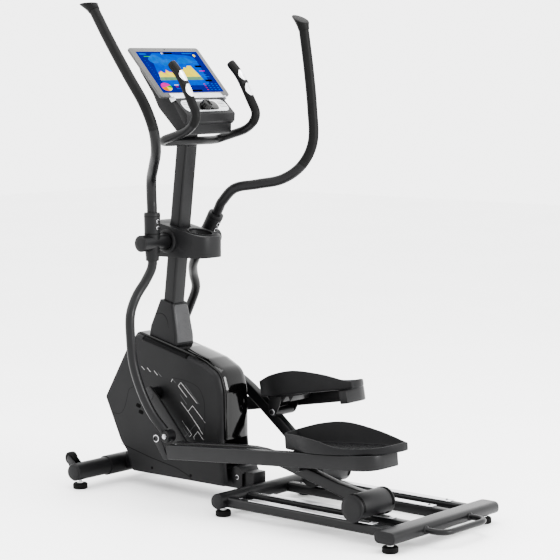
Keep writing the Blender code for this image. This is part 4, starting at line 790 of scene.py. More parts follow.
class TRAINER_OT_mast(bpy.types.Operator):
    """Mast, mast cover, pivot cover and the cross axle"""

    bl_idname = "trainer.mast"
    bl_label = "Mast"

    def execute(self, context):
        rings = [rounded_ring(mast_x(z) - 0.0241, mast_x(z) + 0.0241, 0.0289, 0.009, lambda x, h=z: h)
                 for z in (0.1055, 0.50, 0.80, 1.00, 1.2945)]
        tube = loft("mast_tube", rings, "powder_coated_steel", "frame", 40)
        saddle = block("saddle", [(0.3150, 1.1690), (0.3345, 1.1690), (0.3345, 1.2090), (0.3200, 1.2090)],
            0.002,
                       -0.0200, 0.0200, 0.002, XZ, "powder_coated_steel", "frame")
        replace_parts(joined("mast_tube", [tube, saddle]), "mast")
        self.cover()
        dress("pivot_cover", "moulded_abs", 0.0030, 3, 40, 50)
        self.pivot_details()
        dress("pivot_axle", "zinc_steel", 0.001)
        return {"FINISHED"}

    def cover(self):
        def top_line(x):
            return 0.5382 + (x - 0.1300) * -0.2282

        low = [(0.1680, 0.2930, 0.0460), (0.1720, 0.2925, 0.0452), (0.1910, 0.2830, 0.0425),
            (0.2115, 0.2715, 0.0390)]
        heights = [lambda x: top_line(x) + 0.0004, lambda x: top_line(x) + 0.030,
            lambda x: 0.600 - (x - 0.2) * 0.2,
                   lambda x: 0.6490 - (x - 0.218) * 0.22]
        rings = [rounded_ring(a, b, half, 0.010, f) for (a, b, half), f in zip(low, heights)]
        rings.append(rounded_ring(0.2135, 0.2690, 0.0370, 0.008, lambda x: 0.6508 - (x - 0.218) * 0.22))
        body = loft("mast_boot", rings, "moulded_abs", "frame", 32)
        back = []
        for x, half, z in ((0.2938, 0.0405, 0.5090), (0.2932, 0.0405, 0.5320), (0.2842, 0.0380, 0.5900),
                           (0.2745, 0.0350, 0.6270), (0.2722, 0.0290, 0.6345)):
            line = rounded([(x - 0.006, -half), (x + 0.0016, -half * 0.90), (x + 0.0016, half * 0.90),
                            (x - 0.006, half)], [0, 0.004, 0.004, 0], 4)
            back.append([at(a, b, z) for a, b in line])
        # The rear plate is made lighter than the boot: painted light from the lamp behind.
        plate = loft("mast_boot_rear", back, "boot_plate_painted_light", "frame", 30)
        whole = joined("mast_boot", [body, plate])
        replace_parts(whole, "mast_cover")
        for side, sign in SIDES:
            arc = through([at(0.1960, sign * 0.0420, 0.6020), at(0.2280, sign * 0.0418, 0.6030),
                           at(0.2500, sign * 0.0424, 0.5850), at(0.2600, sign * 0.0440, 0.5450),
                           at(0.2640, sign * 0.0452, 0.5130)], 5)
            loft(f"boot_seam_{side}", tube_rings(arc, 0.0008, 6), "seam_shadow", "frame", 50)

    def pivot_details(self):
        parts = []
        cup = [(0.0415, 0.0), (0.0440, 0.0010), (0.0462, 0.0022), (0.0470, 0.0042), (0.0455, 0.0056),
               (0.0420, 0.0050), (0.0405, 0.0030)]
        axis = Vector((0.205, 0, 1)).normalized()
        parts.append(turned("cup_rim", cup, at(0.3660, 0, 0.8825), axis, "moulded_abs", "frame", 48, 60))
        for sign in (-1, 1):
            ring = [(0.0285, 0.0), (0.0400, 0.0), (0.0415, 0.0015), (0.0400, 0.0045), (0.0330, 0.0062),
                    (0.0300, 0.0062), (0.0285, 0.0040)]
            parts.append(turned("collar", ring, at(0.2687, sign * 0.0597, 0.8537), (0, sign, 0),
                "moulded_abs",
                                "frame", 44, 50))
        joined("pivot_cover_trim", parts)


# ------------------------------------------------------------------ swing arms
UPPER_LINE = [
    (0.000, 0.1300, 0.1003), (0.000, 0.1300, 0.1200), (0.000, 0.1315, 0.1500), (0.0139, 0.1461, 0.2118),
    (0.0635, 0.1860, 0.2598), (0.1152, 0.2288, 0.3124), (0.1379, 0.2638, 0.3829), (0.1200, 0.2877, 0.4645),
    (0.0548, 0.2930, 0.5555), (-0.0281, 0.2899, 0.6629), (-0.1050, 0.2812, 0.7620),
]
LOWER_LINE = [
    (0.000, 0.1300, -0.0603), (0.000, 0.1300, -0.0700), (-0.003, 0.1350, -0.0920), (-0.0120, 0.1540, -0.1300),
    (-0.0190, 0.1900, -0.1772), (-0.0110, 0.2260, -0.2338), (-0.0050, 0.2320, -0.3105),
    (0.0036, 0.2290, -0.3969),
    (0.0280, 0.2180, -0.4842), (0.0600, 0.2020, -0.5580), (0.0985, 0.1830, -0.6140),
]


def swing_frame(sign):
    turn = SWING if sign > 0 else 0.0
    return Matrix.Translation(PIVOT) @ Matrix.Rotation(turn, 4, "Y") @ Matrix.Diagonal((1.0, sign, 1.0, 1.0))


class TRAINER_OT_swing_arms(bpy.types.Operator):
    """The two swing arms with their joints, grips and caps"""

    bl_idname = "trainer.swing_arms"
    bl_label = "Swing arms"

    def execute(self, context):
        grip = context.scene.trainer_sizes.grip_radius
        for side, sign in SIDES:
            body = f"swing_arm_{side}"
            base = swing_frame(sign)
            upper = [base @ Vector(UPPER_LINE[0])] + [base @ p for p in through(UPPER_LINE[1:], 8)]
            loft(f"swing_tube_upper_{side}", tube_rings(upper, 0.0170, 24), "powder_coated_steel", body, 50,
                 (f"swing_upper_{side}",))
            lower = [base @ Vector(LOWER_LINE[0])] + [base @ p for p in through(LOWER_LINE[1:], 7)]
            tube = loft("lower", tube_rings(lower, 0.0158, 24), "powder_coated_steel", body, 50)
            ex, ez = ENDS[side]
            sleeve = turned("sleeve", rod_profile(0.0200, 0.1600, 0.1960, 0.0015, 0.0090), at(ex, 0, ez),
                            (0, sign, 0), "powder_coated_steel", body, 36)
            pin = turned("pin", rod_profile(0.0086, 0.1590, 0.1985, 0.0006), at(ex, 0, ez), (0, sign, 0),
                         "zinc_steel", body, 24)
            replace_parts(joined(f"swing_tube_lower_{side}", [tube, sleeve, pin]), f"swing_lower_{side}")
            self.joint(side, sign, base, body)
            self.grip(side, upper, grip, body)
        return {"FINISHED"}

    def joint(self, side, sign, base, body):
        barrel = turned("barrel", [(0.0135, 0.0680), (0.0262, 0.0680), (0.0275, 0.0695), (0.0275, 0.1855),
                                   (0.0262, 0.1870), (0.0135, 0.1870)], PIVOT, (0, sign, 0),
                                   "powder_coated_steel",
                        body, 44)
        cap = turned("cap", [(0, 0.1776), (0.0240, 0.1776), (0.0252, 0.1800), (0.0246, 0.1866),
            (0.0215, 0.1884),
                             (0.0120, 0.1893), (0, 0.1895)], PIVOT, (0, sign, 0), "moulded_abs", body, 44, 50)
        rings = []
        for radius, z in ((0.0205, -0.0602), (0.0219, -0.0590), (0.0226, -0.0450), (0.0252, -0.0200),
                          (0.0262, 0.0200), (0.0266, 0.0600), (0.0272, 0.0960), (0.0258, 0.1000),
                          (0.0176, 0.1004)):
            rings.append([base @ Vector((radius * cos(2 * pi * k / 36),
                0.1300 + radius * sin(2 * pi * k / 36), z))
                          for k in range(36)])
        sleeve = loft("sleeve", rings, "moulded_abs", body, 40)
        bands = []
        for z in (0.0300, 0.0880):
            line = [base @ Vector((0.0266 * cos(2 * pi * k / 36), 0.1300 + 0.0266 * sin(2 * pi * k / 36), z))
                    for k in range(37)]
            bands.append(loft("band", tube_rings(line, 0.0009, 6), "seam_shadow", body, 50))
        screws = []
        for z in (0.0500, 0.0720):
            spot = base @ Vector((0.0262, 0.1300, z))
            heading = base.to_3x3() @ Vector((1, 0, 0))
            screws.append(bolt("clamp_screw", spot, heading, 0.0052, body, 0.0042))
        whole = joined(f"swing_joint_{side}_set", [barrel, cap, sleeve] + bands + screws)
        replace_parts(whole, f"swing_joint_{side}")

    def grip(self, side, line, radius, body):
        """A foam sleeve over the top half of the tube, and the flared cap that ends it."""
        start = int(len(line) * 0.56)
        part = line[start:]
        radii = [radius] * len(part)
        radii[0] = 0.0171
        radii[1] = radius * 0.995
        sleeve = loft("foam", tube_rings(part, radii, 28), "foam_grip", body, 50)
        heading = (line[-1] - line[-2]).normalized()
        front = heading.cross(Vector((0, 1, 0))).normalized()
        rings = []
        for reach, r, shift, slope in (
            (0.0, 0.0180, 0.0, 0.0), (0.0030, 0.0190, 0.0, 0.0), (0.0140, 0.0205, 0.0015, 0.10),
            (0.0220, 0.0228, 0.0035, 0.24), (0.0300, 0.0256, 0.0065, 0.44), (0.0355, 0.0280, 0.0088, 0.58),
            (0.0378, 0.0272, 0.0089, 0.61), (0.0384, 0.0250, 0.0090, 0.62),
        ):
            middle = line[-1] + heading * reach + front * shift
            ring = tube_rings([middle, middle + heading * 0.001], r, 32)[0]
            rings.append([p + heading * (p - middle).dot(front) * slope for p in ring])
        cap = loft("cap", rings, "foam_grip", body, 50)
        joined(f"swing_grip_{side}", [sleeve, cap])


# ------------------------------------------------------------------ crank, roller arms and rollers
def about(centre, points, angle):
    c, s = cos(angle), sin(angle)
    return [(centre[0] + x * c - z * s, centre[1] + x * s + z * c) for x, z in points]


class TRAINER_OT_linkage(bpy.types.Operator):
    """Cranks, roller arms, rollers and their covers, and the drive inside"""

    bl_idname = "trainer.linkage"
    bl_label = "Linkage"

    def execute(self, context):
        edge = context.scene.trainer_sizes.tube_edge
        for side, sign in SIDES:
            self.crank(side, sign)
            self.arm(side, sign, edge)
            self.rollers(side, sign)
        dress("crank_axle", "zinc_steel", 0.0006)
        dress("drive_pulley", "brushed_aluminium", 0.0006)
        dress("drive_belt", "moulded_rubber", 0)
        dress("flywheel", "zinc_steel", 0.0008)
        return {"FINISHED"}

    def crank(self, side, sign):
        reach, half = 0.2215 + 0.024, 0.0210
        shape = [(-0.024, -half), (0.03, -half - 0.004), (reach, -half * 0.86), (reach, half * 0.86),
                 (0.03, half + 0.004), (-0.024, half)]
        arm = block("crank", about(CRANK, shape, CRANK_TURN[side]), [0.015, 0.03, 0.013, 0.013, 0.03, 0.015],
                    sign * 0.1065, sign * 0.1190, 0.0025, XZ, "powder_coated_steel", "crank")
        hub = turned("hub", [(0, 0.1040), (0.0190, 0.1040), (0.0210, 0.1060), (0.0210, 0.1185),
            (0.0190, 0.1205),
                             (0.0120, 0.1212), (0, 0.1212)], at(CRANK[0], 0, CRANK[1]), (0, sign, 0),
                             "black_oxide",
                     "crank", 36)
        # The boss takes the darker ABS copy: painted shade from the crank arm over it.
        boss = turned("boss", rod_profile(0.0220, 0.0755, 0.1070, 0.0015, 0.0104), at(CRANK[0], 0, CRANK[1]),
                      (0, sign, 0), "moulded_abs_painted_shade", "crank", 40)
        px, pz = PINS[side]
        pin = turned("pin", rod_profile(0.0120, 0.1170, 0.1222, 0.0008), at(px, 0, pz), (0, sign, 0),
            "zinc_steel",
                     "crank", 30)
        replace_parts(joined(f"crank_{side}_set", [arm, hub, boss, pin]), f"crank_{side}")

    def arm(self, side, sign, edge):
        body = f"roller_arm_{side}"
        pin, roller = Vector(PINS[side]), Vector(ROLLERS[side])
        pr = ARM_TURN[side]
        fd = Vector((cos(pr + radians(10.27)), sin(pr + radians(10.27))))
        rd = Vector((cos(pr + radians(-8.83)), sin(pr + radians(-8.83))))
        gap = roller - pin
        cross = fd.x * rd.y - fd.y * rd.x
        knee = pin + fd * ((gap.x * rd.y - gap.y * rd.x) / cross)
        fn, rn = Vector((-fd.y, fd.x)), Vector((-rd.y, rd.x))
        half = 0.0190
        mn = (fn + rn).normalized() * (half / (fn + rn).normalized().dot(fn))
        pd = Vector((cos(pr), sin(pr)))
        pn = Vector((-pd.y, pd.x))
        weld = roller - rd * 0.128
        corners = [pin - fd * 0.020 + fn * half, knee + mn, weld + rn * half,
            roller - pd * 0.040 + pn * 0.034,
                   roller - pd * 0.012 + pn * 0.036, roller - pd * 0.010 - pn * 0.020,
                   roller - pd * 0.050 - pn * 0.016, weld - rn * half, knee - mn,
                   pin - fd * 0.020 - fn * half]
        radii = [0.014, 0.55, 0.02, 0.02, 0.004, 0.004, 0.02, 0.02, 0.55, 0.014]
        tube = block("arm", [(p.x, p.y) for p in corners], radii, sign * 0.1230, sign * 0.1520, edge * 0.8,
            XZ,
                     "powder_coated_steel", body, 35, (), 3)
        hx, hz = HINGES[side]
        sleeve = turned("sleeve", rod_profile(0.0150, 0.1052, 0.1995, 0.0012, 0.0066), at(hx, 0, hz),
            (0, sign, 0),
                        "powder_coated_steel", body, 32)
        eye = turned("eye", rod_profile(0.0150, 0.1190, 0.1560, 0.0010, 0.0086), at(roller.x, 0, roller.y),
                     (0, sign, 0), "powder_coated_steel", body, 32)
        px, pz = PINS[side]
        nut = bolt("nut", at(px, sign * 0.1520, pz), (0, sign, 0), 0.0100, body, 0.0065)
        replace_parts(joined(f"roller_arm_{side}_tube", [tube, sleeve, eye, nut]), f"roller_arm_{side}")

    def rollers(self, side, sign):
        dress(f"roller_axle_{side}", "zinc_steel", 0.0006)
        rx, rz = ROLLERS[side]
        for row, y in (("outer", 0.1994), ("inner", 0.1036)):
            body = f"roller_{side}_{row}"
            tyre = turned("tyre", [(0.0240, -0.0118), (0.0350, -0.0120), (0.0385, -0.0105), (0.0395, -0.0070),
                                   (0.0395, 0.0070), (0.0385, 0.0105), (0.0350, 0.0120), (0.0240, 0.0118)],
                          at(rx, sign * y, rz), (0, 1, 0), "moulded_rubber", body, 44, 40)
            hub = turned("hub", [(0.0086, -0.0115), (0.0130, -0.0115), (0.0150, -0.0060), (0.0250, -0.0060),
                                 (0.0250, 0.0060), (0.0150, 0.0060), (0.0130, 0.0115), (0.0086, 0.0115)],
                         at(rx, sign * y, rz), (0, 1, 0), "moulded_abs", body, 36, 40)
            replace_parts(joined(body + "_wheel", [tyre, hub]), body)
        cover = dress(f"roller_cover_{side}", "moulded_abs", 0.0006, 2, 40, 45)
        grooves = []
        pr = ARM_TURN[side] + radians(17.2)
        for y in (0.0765, 0.0800, 0.0835, 0.2185, 0.2220, 0.2255):
            line = []
            for k in range(25):
                a = pr + radians(-20 + 150 * k / 24)
                line.append(at(rx + 0.0424 * cos(a), sign * y, rz + 0.0424 * sin(a)))
            grooves.append(loft("groove", tube_rings(line, 0.0009, 6, Vector((0, 1, 0))), "seam_shadow",
                                f"roller_arm_{side}", 50))
        for y in (0.2320, 0.0700):
            facing = sign if y > 0.1 else -sign
            grooves.append(turned("disc", [(0, 0.0001), (0.0340, 0.0001), (0.0350, 0.0010), (0.0330, 0.0018),
                                           (0.0240, 0.0024), (0, 0.0026)], at(rx, sign * y, rz),
                                           (0, facing, 0),
                                  "moulded_abs", f"roller_arm_{side}", 44, 30))
        whole = joined(f"roller_cover_{side}_shell", [cover] + grooves)
        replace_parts(whole, f"roller_cover_{side}")


# ------------------------------------------------------------------ pedal arms and pedals
def tube_frame(side, sign):
    c, s = cos(PEDAL_TURN[side]), sin(PEDAL_TURN[side])
    ex, ez = ENDS[side]
    return Matrix.Translation((ex - SHIFT, 0.0, ez)) @ Matrix(
        ((c, 0, -s, 0), (0, sign, 0, 0), (s, 0, c, 0), (0, 0, 0, 1))
    )


TUBE_TOP, TUBE_LOW = -0.0207, -0.0677
HINGE_S, HINGE_P = 0.5661 * cos(radians(7.52)), -0.5661 * sin(radians(7.52))
PEDAL_FRONT = 0.5080
PEDAL_PLAN = [
    (0.000, 0.118), (0.000, 0.180), (0.060, 0.210), (0.120, 0.234), (0.185, 0.2445), (0.255, 0.243),
    (0.325, 0.228), (0.380, 0.196), (0.410, 0.150), (0.415, 0.105), (0.400, 0.087), (0.300, 0.085),
    (0.180, 0.085), (0.080, 0.092),
]
PEDAL_HIGH = [
    0.054, 0.050, 0.051, 0.049, 0.040, 0.023, 0.020, 0.021, 0.026, 0.027, 0.026, 0.056, 0.078, 0.072,
]


class TRAINER_OT_pedals(bpy.types.Operator):
    """Pedal arms with their brackets, and the pedals with their treads"""

    bl_idname = "trainer.pedals"
    bl_label = "Pedals"

    def execute(self, context):
        edge = context.scene.trainer_sizes.tube_edge
        radius = context.scene.trainer_sizes.bolt_radius
        for side, sign in SIDES:
            base = tube_frame(side, sign)
            self.arm(side, sign, base, edge, radius)
            self.pedal(side, sign, base)
        return {"FINISHED"}

    def arm(self, side, sign, base, edge, radius):
        body = f"pedal_arm_{side}"
        upright = base @ Matrix(((1, 0, 0, 0), (0, 0, 1, 0), (0, 1, 0, 0), (0, 0, 0, 1)))
        corners = [(0.0410, 0.2350), (0.8876, 0.2350), (0.8876, 0.1000), (0.8576, 0.1000), (0.8576, 0.2050),
                   (0.0410, 0.2050)]
        tube = block("tube", corners, [0.002, 0.080, 0.002, 0.002, 0.052, 0.002], TUBE_LOW, TUBE_TOP,
            edge * 0.8,
                     base, "powder_coated_steel", body, 35)
        plate = block(
            "plate",
            [(-0.0165, 0.0), (-0.0120, 0.0120), (0.0, 0.0168), (0.0120, 0.0120), (0.0170, 0.0),
             (0.0430, TUBE_LOW + 0.010), (0.0430, TUBE_LOW - 0.001), (0.0270, TUBE_LOW - 0.001)],
            [0.006, 0.006, 0.006, 0.006, 0.006, 0.001, 0.001, 0.003], 0.2300, 0.2352, 0.0008, upright,
            "powder_coated_steel", body,
        )
        cheek = [(HINGE_S - 0.016, HINGE_P + 0.002), (HINGE_S - 0.012, HINGE_P - 0.010),
            (HINGE_S, HINGE_P - 0.015),
                 (HINGE_S + 0.012, HINGE_P - 0.010), (HINGE_S + 0.030, HINGE_P + 0.012),
                 (HINGE_S + 0.052, TUBE_TOP - 0.004), (HINGE_S - 0.004, TUBE_TOP - 0.004),
                 (HINGE_S - 0.014, HINGE_P + 0.020)]
        parts = [plate]
        for low, high in ((0.1007, 0.1049), (0.1998, 0.2060)):
            parts.append(block("cheek", cheek, 0.004, low, high, 0.0006, upright, "powder_coated_steel",
                body))
        parts.append(block("shelf", [(HINGE_S - 0.0025, 0.1020), (HINGE_S + 0.130, 0.1020),
            (HINGE_S + 0.130, 0.2065),
                                     (HINGE_S - 0.0025, 0.2065)], 0.003, TUBE_TOP - 0.0056, TUBE_TOP - 0.0006,
                           0.0008, base, "powder_coated_steel", body))
        for s in (0.045, 0.078):
            rib = [(HINGE_S + s, TUBE_TOP - 0.006), (HINGE_S + s + 0.022, TUBE_TOP - 0.006),
                   (HINGE_S + s + 0.004, TUBE_TOP - 0.024)]
            parts.append(block("rib", rib, 0.001, 0.1035, 0.1975, 0.0006, upright, "powder_coated_steel",
                body))
        axis = base.to_3x3() @ Vector((0, 1, 0))
        parts.append(turned("pin", rod_profile(0.0060, 0.1030, 0.2030, 0.0004),
                            base @ Vector((HINGE_S, 0, HINGE_P)), axis, "zinc_steel", body, 24))
        parts.append(bolt("bolt", base @ Vector((0.0, 0.2352, 0.0)), axis, radius, body, 0.0060))
        parts.append(bolt("bolt", base @ Vector((HINGE_S, 0.1007, HINGE_P)), -axis, radius * 0.9, body,
            0.0050))
        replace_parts(joined(f"pedal_arm_{side}_tube", [tube] + parts), f"pedal_arm_{side}")

    def pedal(self, side, sign, base):
        body = f"pedal_arm_{side}"
        plan = through([(x, y, h) for (x, y),
            h in zip(PEDAL_PLAN + PEDAL_PLAN[:1], PEDAL_HIGH + PEDAL_HIGH[:1])], 7)[:-1]
        flat = [(p.x, p.y) for p in plan]
        low = TUBE_TOP + 0.0003
        rings = []
        for by, level, rise in (
            (0.0050, 0.0, 0), (0.0018, 0.0008, 0), (0.0004, 0.0035, 0), (0.0, 0.0090, 0),
            (0.0, None, -0.0030),
            (0.0005, None, -0.0010), (0.0018, None, 0.0), (0.0042, None, 0.0), (0.0055, None, -0.0012),
            (0.0062, None, -0.0040), (0.0068, 0.0170, 0), (0.0085, 0.0136, 0), (0.0120, 0.0122, 0),
            (0.0150, 0.0120, 0),
        ):
            line = inset(flat, by) if by else flat
            ring = []
            for (x, y), p in zip(line, plan):
                up = p.z + rise if level is None else min(level, p.z - 0.002)
                ring.append(base @ Vector((PEDAL_FRONT + x, y, low + up)))
            rings.append(ring)
        tray = loft("tray", rings, "pedal_polypropylene", body, 32)
        treads = []
        for i in range(10):
            for j in range(7):
                x = 0.105 + 0.030 * i
                y = 0.104 + 0.0185 * j + (0.009 if i % 2 else 0.0)
                if self.inside(x, y):
                    treads.append(self.tread(base, low + 0.0118, x, y, j % 2, body))
        for j in range(5):
            y = 0.115 + 0.016 * j
            if self.inside(0.055, y):
                treads.append(self.tread(base, low + 0.0118, 0.055, y, 0, body))
        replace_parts(joined(f"pedal_{side}_tray", [tray] + treads), f"pedal_{side}")

    def inside(self, x, y):
        """Whether a tread at this place stays on the pedal's floor."""
        clear = 0.027
        plan = [Vector((p.x, p.y)) for p in through([(a, b, 0) for a, b in PEDAL_PLAN + PEDAL_PLAN[:1]], 4)]
        here = Vector((x, y))
        if min((p - here).length for p in plan) < clear * 0.78:
            return False
        return 0.02 < x < 0.40 and 0.095 < y < 0.240

    def tread(self, base, level, x, y, slant, body):
        """A short raised dash of the anti-slip pattern."""
        turn = radians(28 if slant else -28)
        corners = about((PEDAL_FRONT + x, y),
            [(-0.0085, -0.0024), (0.0085, -0.0024), (0.0085, 0.0024), (-0.0085, 0.0024)],
                        turn)
        rings = []
        for by, up in ((0.0, 0.0), (0.0004, 0.0016), (0.0012, 0.0022)):
            rings.append([base @ Vector((a, b, level + up)) for a, b in inset(corners, by)])
        return loft("tread", rings, "pedal_polypropylene", body, 30)


# ------------------------------------------------------------------ console
FACE_TURN = radians(46.8)


def face_frame():
    """Across, up and out of the tablet's front face, from the middle of its foot."""
    up = Vector((-cos(FACE_TURN), 0, sin(FACE_TURN)))
    out = Vector((sin(FACE_TURN), 0, cos(FACE_TURN)))
    foot = at(0.3521, 0, 1.3376)
    return Matrix(((0, up.x, out.x, foot.x), (1, up.y, out.y, foot.y), (0, up.z, out.z, foot.z),
        (0, 0, 0, 1)))


FACE = face_frame()


class TRAINER_OT_console(bpy.types.Operator):
    """Tablet with its lit screen, console shells, ledge and knob"""

    bl_idname = "trainer.console"
    bl_label = "Console"

    def execute(self, context):
        self.tablet()
        dress("console_back", "moulded_abs", 0.0060, 3, 40, 40)
        dress("console_panel", "moulded_abs", 0.0015, 2, 40, 40)
        dress("console_ledge", "silver_paint", 0.0008, 2, 40, 40)
        self.panel()
        return {"FINISHED"}

    def flat(self, corners, radii, finish, low=0.0003, high=0.0005, body="tablet"):
        return block("screen", corners, radii, low, high, 0.00004, FACE, finish, body, 30, (), 1)

    def tablet(self):
        w, h = 0.1687, 0.2200
        frame_block = block("tablet", [(-w, 0), (w, 0), (w, h), (-w, h)], 0.012, -0.0090, 0.0, 0.0022, FACE,
                            "bezel_lacquer", "tablet")
        parts = [frame_block]
        x0, x1, y0, y1 = -0.1450, 0.1500, 0.0180, 0.2010
        parts.append(self.flat([(x0, y0), (x1, y0), (x1, y1), (x0, y1)], 0.001, "glow_deep", -0.0002,
            0.00015))
        parts.append(self.flat([(x0 + 0.022, y0 + 0.030), (x1 - 0.040, y0 + 0.030), (x1 - 0.028, y1 - 0.020),
                                (x0 + 0.060, y1 - 0.004)], 0.030, "glow_sky", 0.00015, 0.0003))
        for cx, cy, rx, ry in ((-0.075, 0.165, 0.036, 0.018), (-0.020, 0.150, 0.046, 0.014),
            (0.060, 0.158, 0.040, 0.014)):
            oval = [(cx + rx * cos(2 * pi * k / 14), cy + ry * sin(2 * pi * k / 14) * (1 + 0.25 * sin(5 * k)))
                    for k in range(14)]
            parts.append(self.flat(oval, 0.004, "glow_cloud", 0.0003, 0.0004))
        hills = [(-0.117, 0.072), (-0.104, 0.104), (-0.088, 0.112), (-0.080, 0.104), (-0.072, 0.104),
            (-0.060, 0.118),
                 (-0.050, 0.108), (-0.036, 0.106), (-0.022, 0.116), (-0.010, 0.108), (0.006, 0.110),
                 (0.014, 0.124),
                 (0.024, 0.118), (0.034, 0.130), (0.044, 0.126), (0.054, 0.136), (0.072, 0.136),
                 (0.092, 0.072)]
        parts.append(self.flat(hills, 0.0, "glow_yellow", 0.0004, 0.0006))
        parts.append(self.flat([(-0.117, 0.0715), (0.092, 0.0715), (0.088, 0.086), (-0.111, 0.086)], 0.0,
                               "glow_mint", 0.0006, 0.0007))
        for k, (a, b) in enumerate(zip(hills[1:7], hills[2:8])):
            d = Vector((b[0] - a[0], b[1] - a[1])).normalized() * 0.0012
            quad = [(a[0], a[1] - 0.0002), (b[0], b[1] - 0.0002), (b[0] - d.y * 0.2, b[1] + 0.0022),
                (a[0], a[1] + 0.0022)]
            parts.append(self.flat(quad, 0.0, "glow_pink", 0.0006, 0.0007))
        slices = (("glow_pink", 20, 190), ("glow_orange", 190, 275), ("glow_yellow", 275, 340),
            ("glow_green", 340, 380))
        for finish, start, end in slices:
            fan = [(-0.112, 0.043)]
            for k in range(9):
                a = radians(start + (end - start) * k / 8)
                fan.append((-0.112 + 0.0245 * cos(a), 0.043 + 0.0185 * sin(a)))
            parts.append(self.flat(fan, 0.0, finish, 0.0004, 0.0006))
        for x, y, w2, h2, finish in (
            (-0.002, 0.1930, 0.050, 0.0070, "glow_navy"), (-0.025, 0.1930, 0.012, 0.0070, "glow_white"),
            (0.108, 0.1330, 0.032, 0.0090, "glow_navy"), (0.112, 0.0680, 0.034, 0.0090, "glow_navy"),
            (0.020, 0.0240, 0.056, 0.0080, "glow_navy"), (-0.120, 0.1900, 0.034, 0.0060, "glow_cloud"),
            (0.095, 0.1925, 0.050, 0.0040, "glow_cloud"), (-0.108, 0.1790, 0.030, 0.0035, "glow_green"),
            (0.108, 0.1560, 0.026, 0.0030, "glow_cloud"), (0.104, 0.1480, 0.020, 0.0030, "glow_cloud"),
            (0.112, 0.1120, 0.028, 0.0030, "glow_pink"), (0.110, 0.0950, 0.022, 0.0030, "glow_cloud"),
            (0.116, 0.0860, 0.026, 0.0030, "glow_cloud"), (-0.060, 0.0500, 0.020, 0.0030, "glow_white"),
            (-0.062, 0.0420, 0.014, 0.0030, "glow_red"), (-0.060, 0.0340, 0.018, 0.0030, "glow_cloud"),
        ):
            parts.append(self.flat([(x - w2 / 2, y - h2 / 2), (x + w2 / 2, y - h2 / 2),
                (x + w2 / 2, y + h2 / 2),
                                    (x - w2 / 2, y + h2 / 2)], h2 * 0.45, finish, 0.0006, 0.0008))
        for k in range(4):
            for j in range(4):
                x, y = 0.078 + 0.019 * k, 0.026 + 0.0085 * j
                finish = "glow_red" if k == 0 else "glow_cloud"
                if x < 0.146:
                    parts.append(self.flat([(x - 0.004, y), (x + 0.005, y), (x + 0.005, y + 0.003),
                        (x - 0.004, y + 0.003)],
                                           0.0, finish, 0.0006, 0.0008))
        for k in range(9):
            x, y = -0.131 + 0.0008 * k, 0.160 - 0.0105 * k
            parts.append(self.flat([(x, y), (x + 0.005, y), (x + 0.005, y + 0.0016), (x, y + 0.0016)], 0.0,
                "glow_cloud",
                                   0.0006, 0.0008))
        sun = [(0.124 + 0.0062 * cos(2 * pi * k / 16),
            0.1825 + 0.0062 * sin(2 * pi * k / 16)) for k in range(16)]
        parts.append(self.flat(sun, 0.0, "glow_yellow", 0.0006, 0.0008))
        lens = FACE @ Vector((0, 0.2115, 0.0))
        parts.append(turned("lens", rod_profile(0.0022, 0.0, 0.0003, 0.0001), lens,
            FACE.to_3x3() @ Vector((0, 0, 1)),
                            "seam_shadow", "tablet", 16))
        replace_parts(joined("tablet_set", parts), "tablet")

    def panel(self):
        """Silver inlay with its well, lines and dashes, the knob on the sloping panel below the ledge, and the
        ledge's clips.
        """
        low = FACE @ Vector((0, -0.0125, 0.004))
        foot = at(0.4190, 0, 1.2800)
        down = (foot - low).normalized()
        out = Vector((-down.z, 0, down.x))
        if out.z < 0:
            out = -out
        span = (foot - low).length
        plane = Matrix(((0, -down.x, out.x, foot.x), (1, 0, 0, 0), (0, -down.z, out.z, foot.z), (0, 0, 0, 1)))
        parts = [
            block("inlay", [(-0.108, 0.012), (0.108, 0.012), (0.108, span - 0.010), (-0.108, span - 0.010)],
            0.030,
                  0.0, 0.0012, 0.0005, plane, "silver_paint", "frame"),
            block("well", [(-0.062, 0.018), (0.062, 0.018), (0.062, span - 0.016), (-0.062, span - 0.016)],
            0.024,
                  0.0010, 0.0018, 0.0004, plane, "polished_abs", "frame"),
        ]
        for low_end, high_end in ((-0.100, -0.070), (0.070, 0.100)):
            for row in range(4):
                v = 0.030 + 0.0075 * row
                parts.append(block("line", [(low_end, v), (high_end, v), (high_end, v + 0.0014),
                    (low_end, v + 0.0014)], 0.0,
                                   0.0011, 0.0016, 0.0001, plane, "seam_shadow", "frame"))
        for k in range(9):
            parts.append(block("dash", [(-0.034 + 0.0075 * k, span - 0.0075),
                (-0.030 + 0.0075 * k, span - 0.0075),
                                        (-0.030 + 0.0075 * k, span - 0.0050),
                                        (-0.034 + 0.0075 * k, span - 0.0050)], 0.0,
                               0.0, 0.0004, 0.0001, plane, "pad_print", "frame"))
        joined("panel_trim", parts)
        centre = low + (foot - low) * 0.52
        rings = []
        count = 32
        for r, h, flute in ((0.0190, 0.0025, 0), (0.0200, 0.0033, 0), (0.0200, 0.0050, 1),
            (0.0186, 0.0150, 1),
                            (0.0170, 0.0176, 0), (0.0120, 0.0183, 0), (0.0110, 0.0174, 0)):
            ring = []
            for k in range(count):
                a = 2 * pi * k / count
                radius = r * (0.955 if flute and k % 2 else 1.0)
                across = Vector((0, 1, 0)) * cos(a) * radius + (-down) * sin(a) * radius
                ring.append(centre + across + out * h)
            rings.append(ring)
        loft("knob", rings, "polished_abs", "control_knob", 30, ("control_knob",))
        clips = []
        for side, sign in SIDES:
            clips.append(block("clip", [(0.3560, 1.3190), (0.3760, 1.3260), (0.3700, 1.3400),
                (0.3510, 1.3330)], 0.003,
                               sign * 0.1238, sign * 0.1262, 0.0006, XZ, "silver_paint", "frame"))
        joined("ledge_clips", clips)


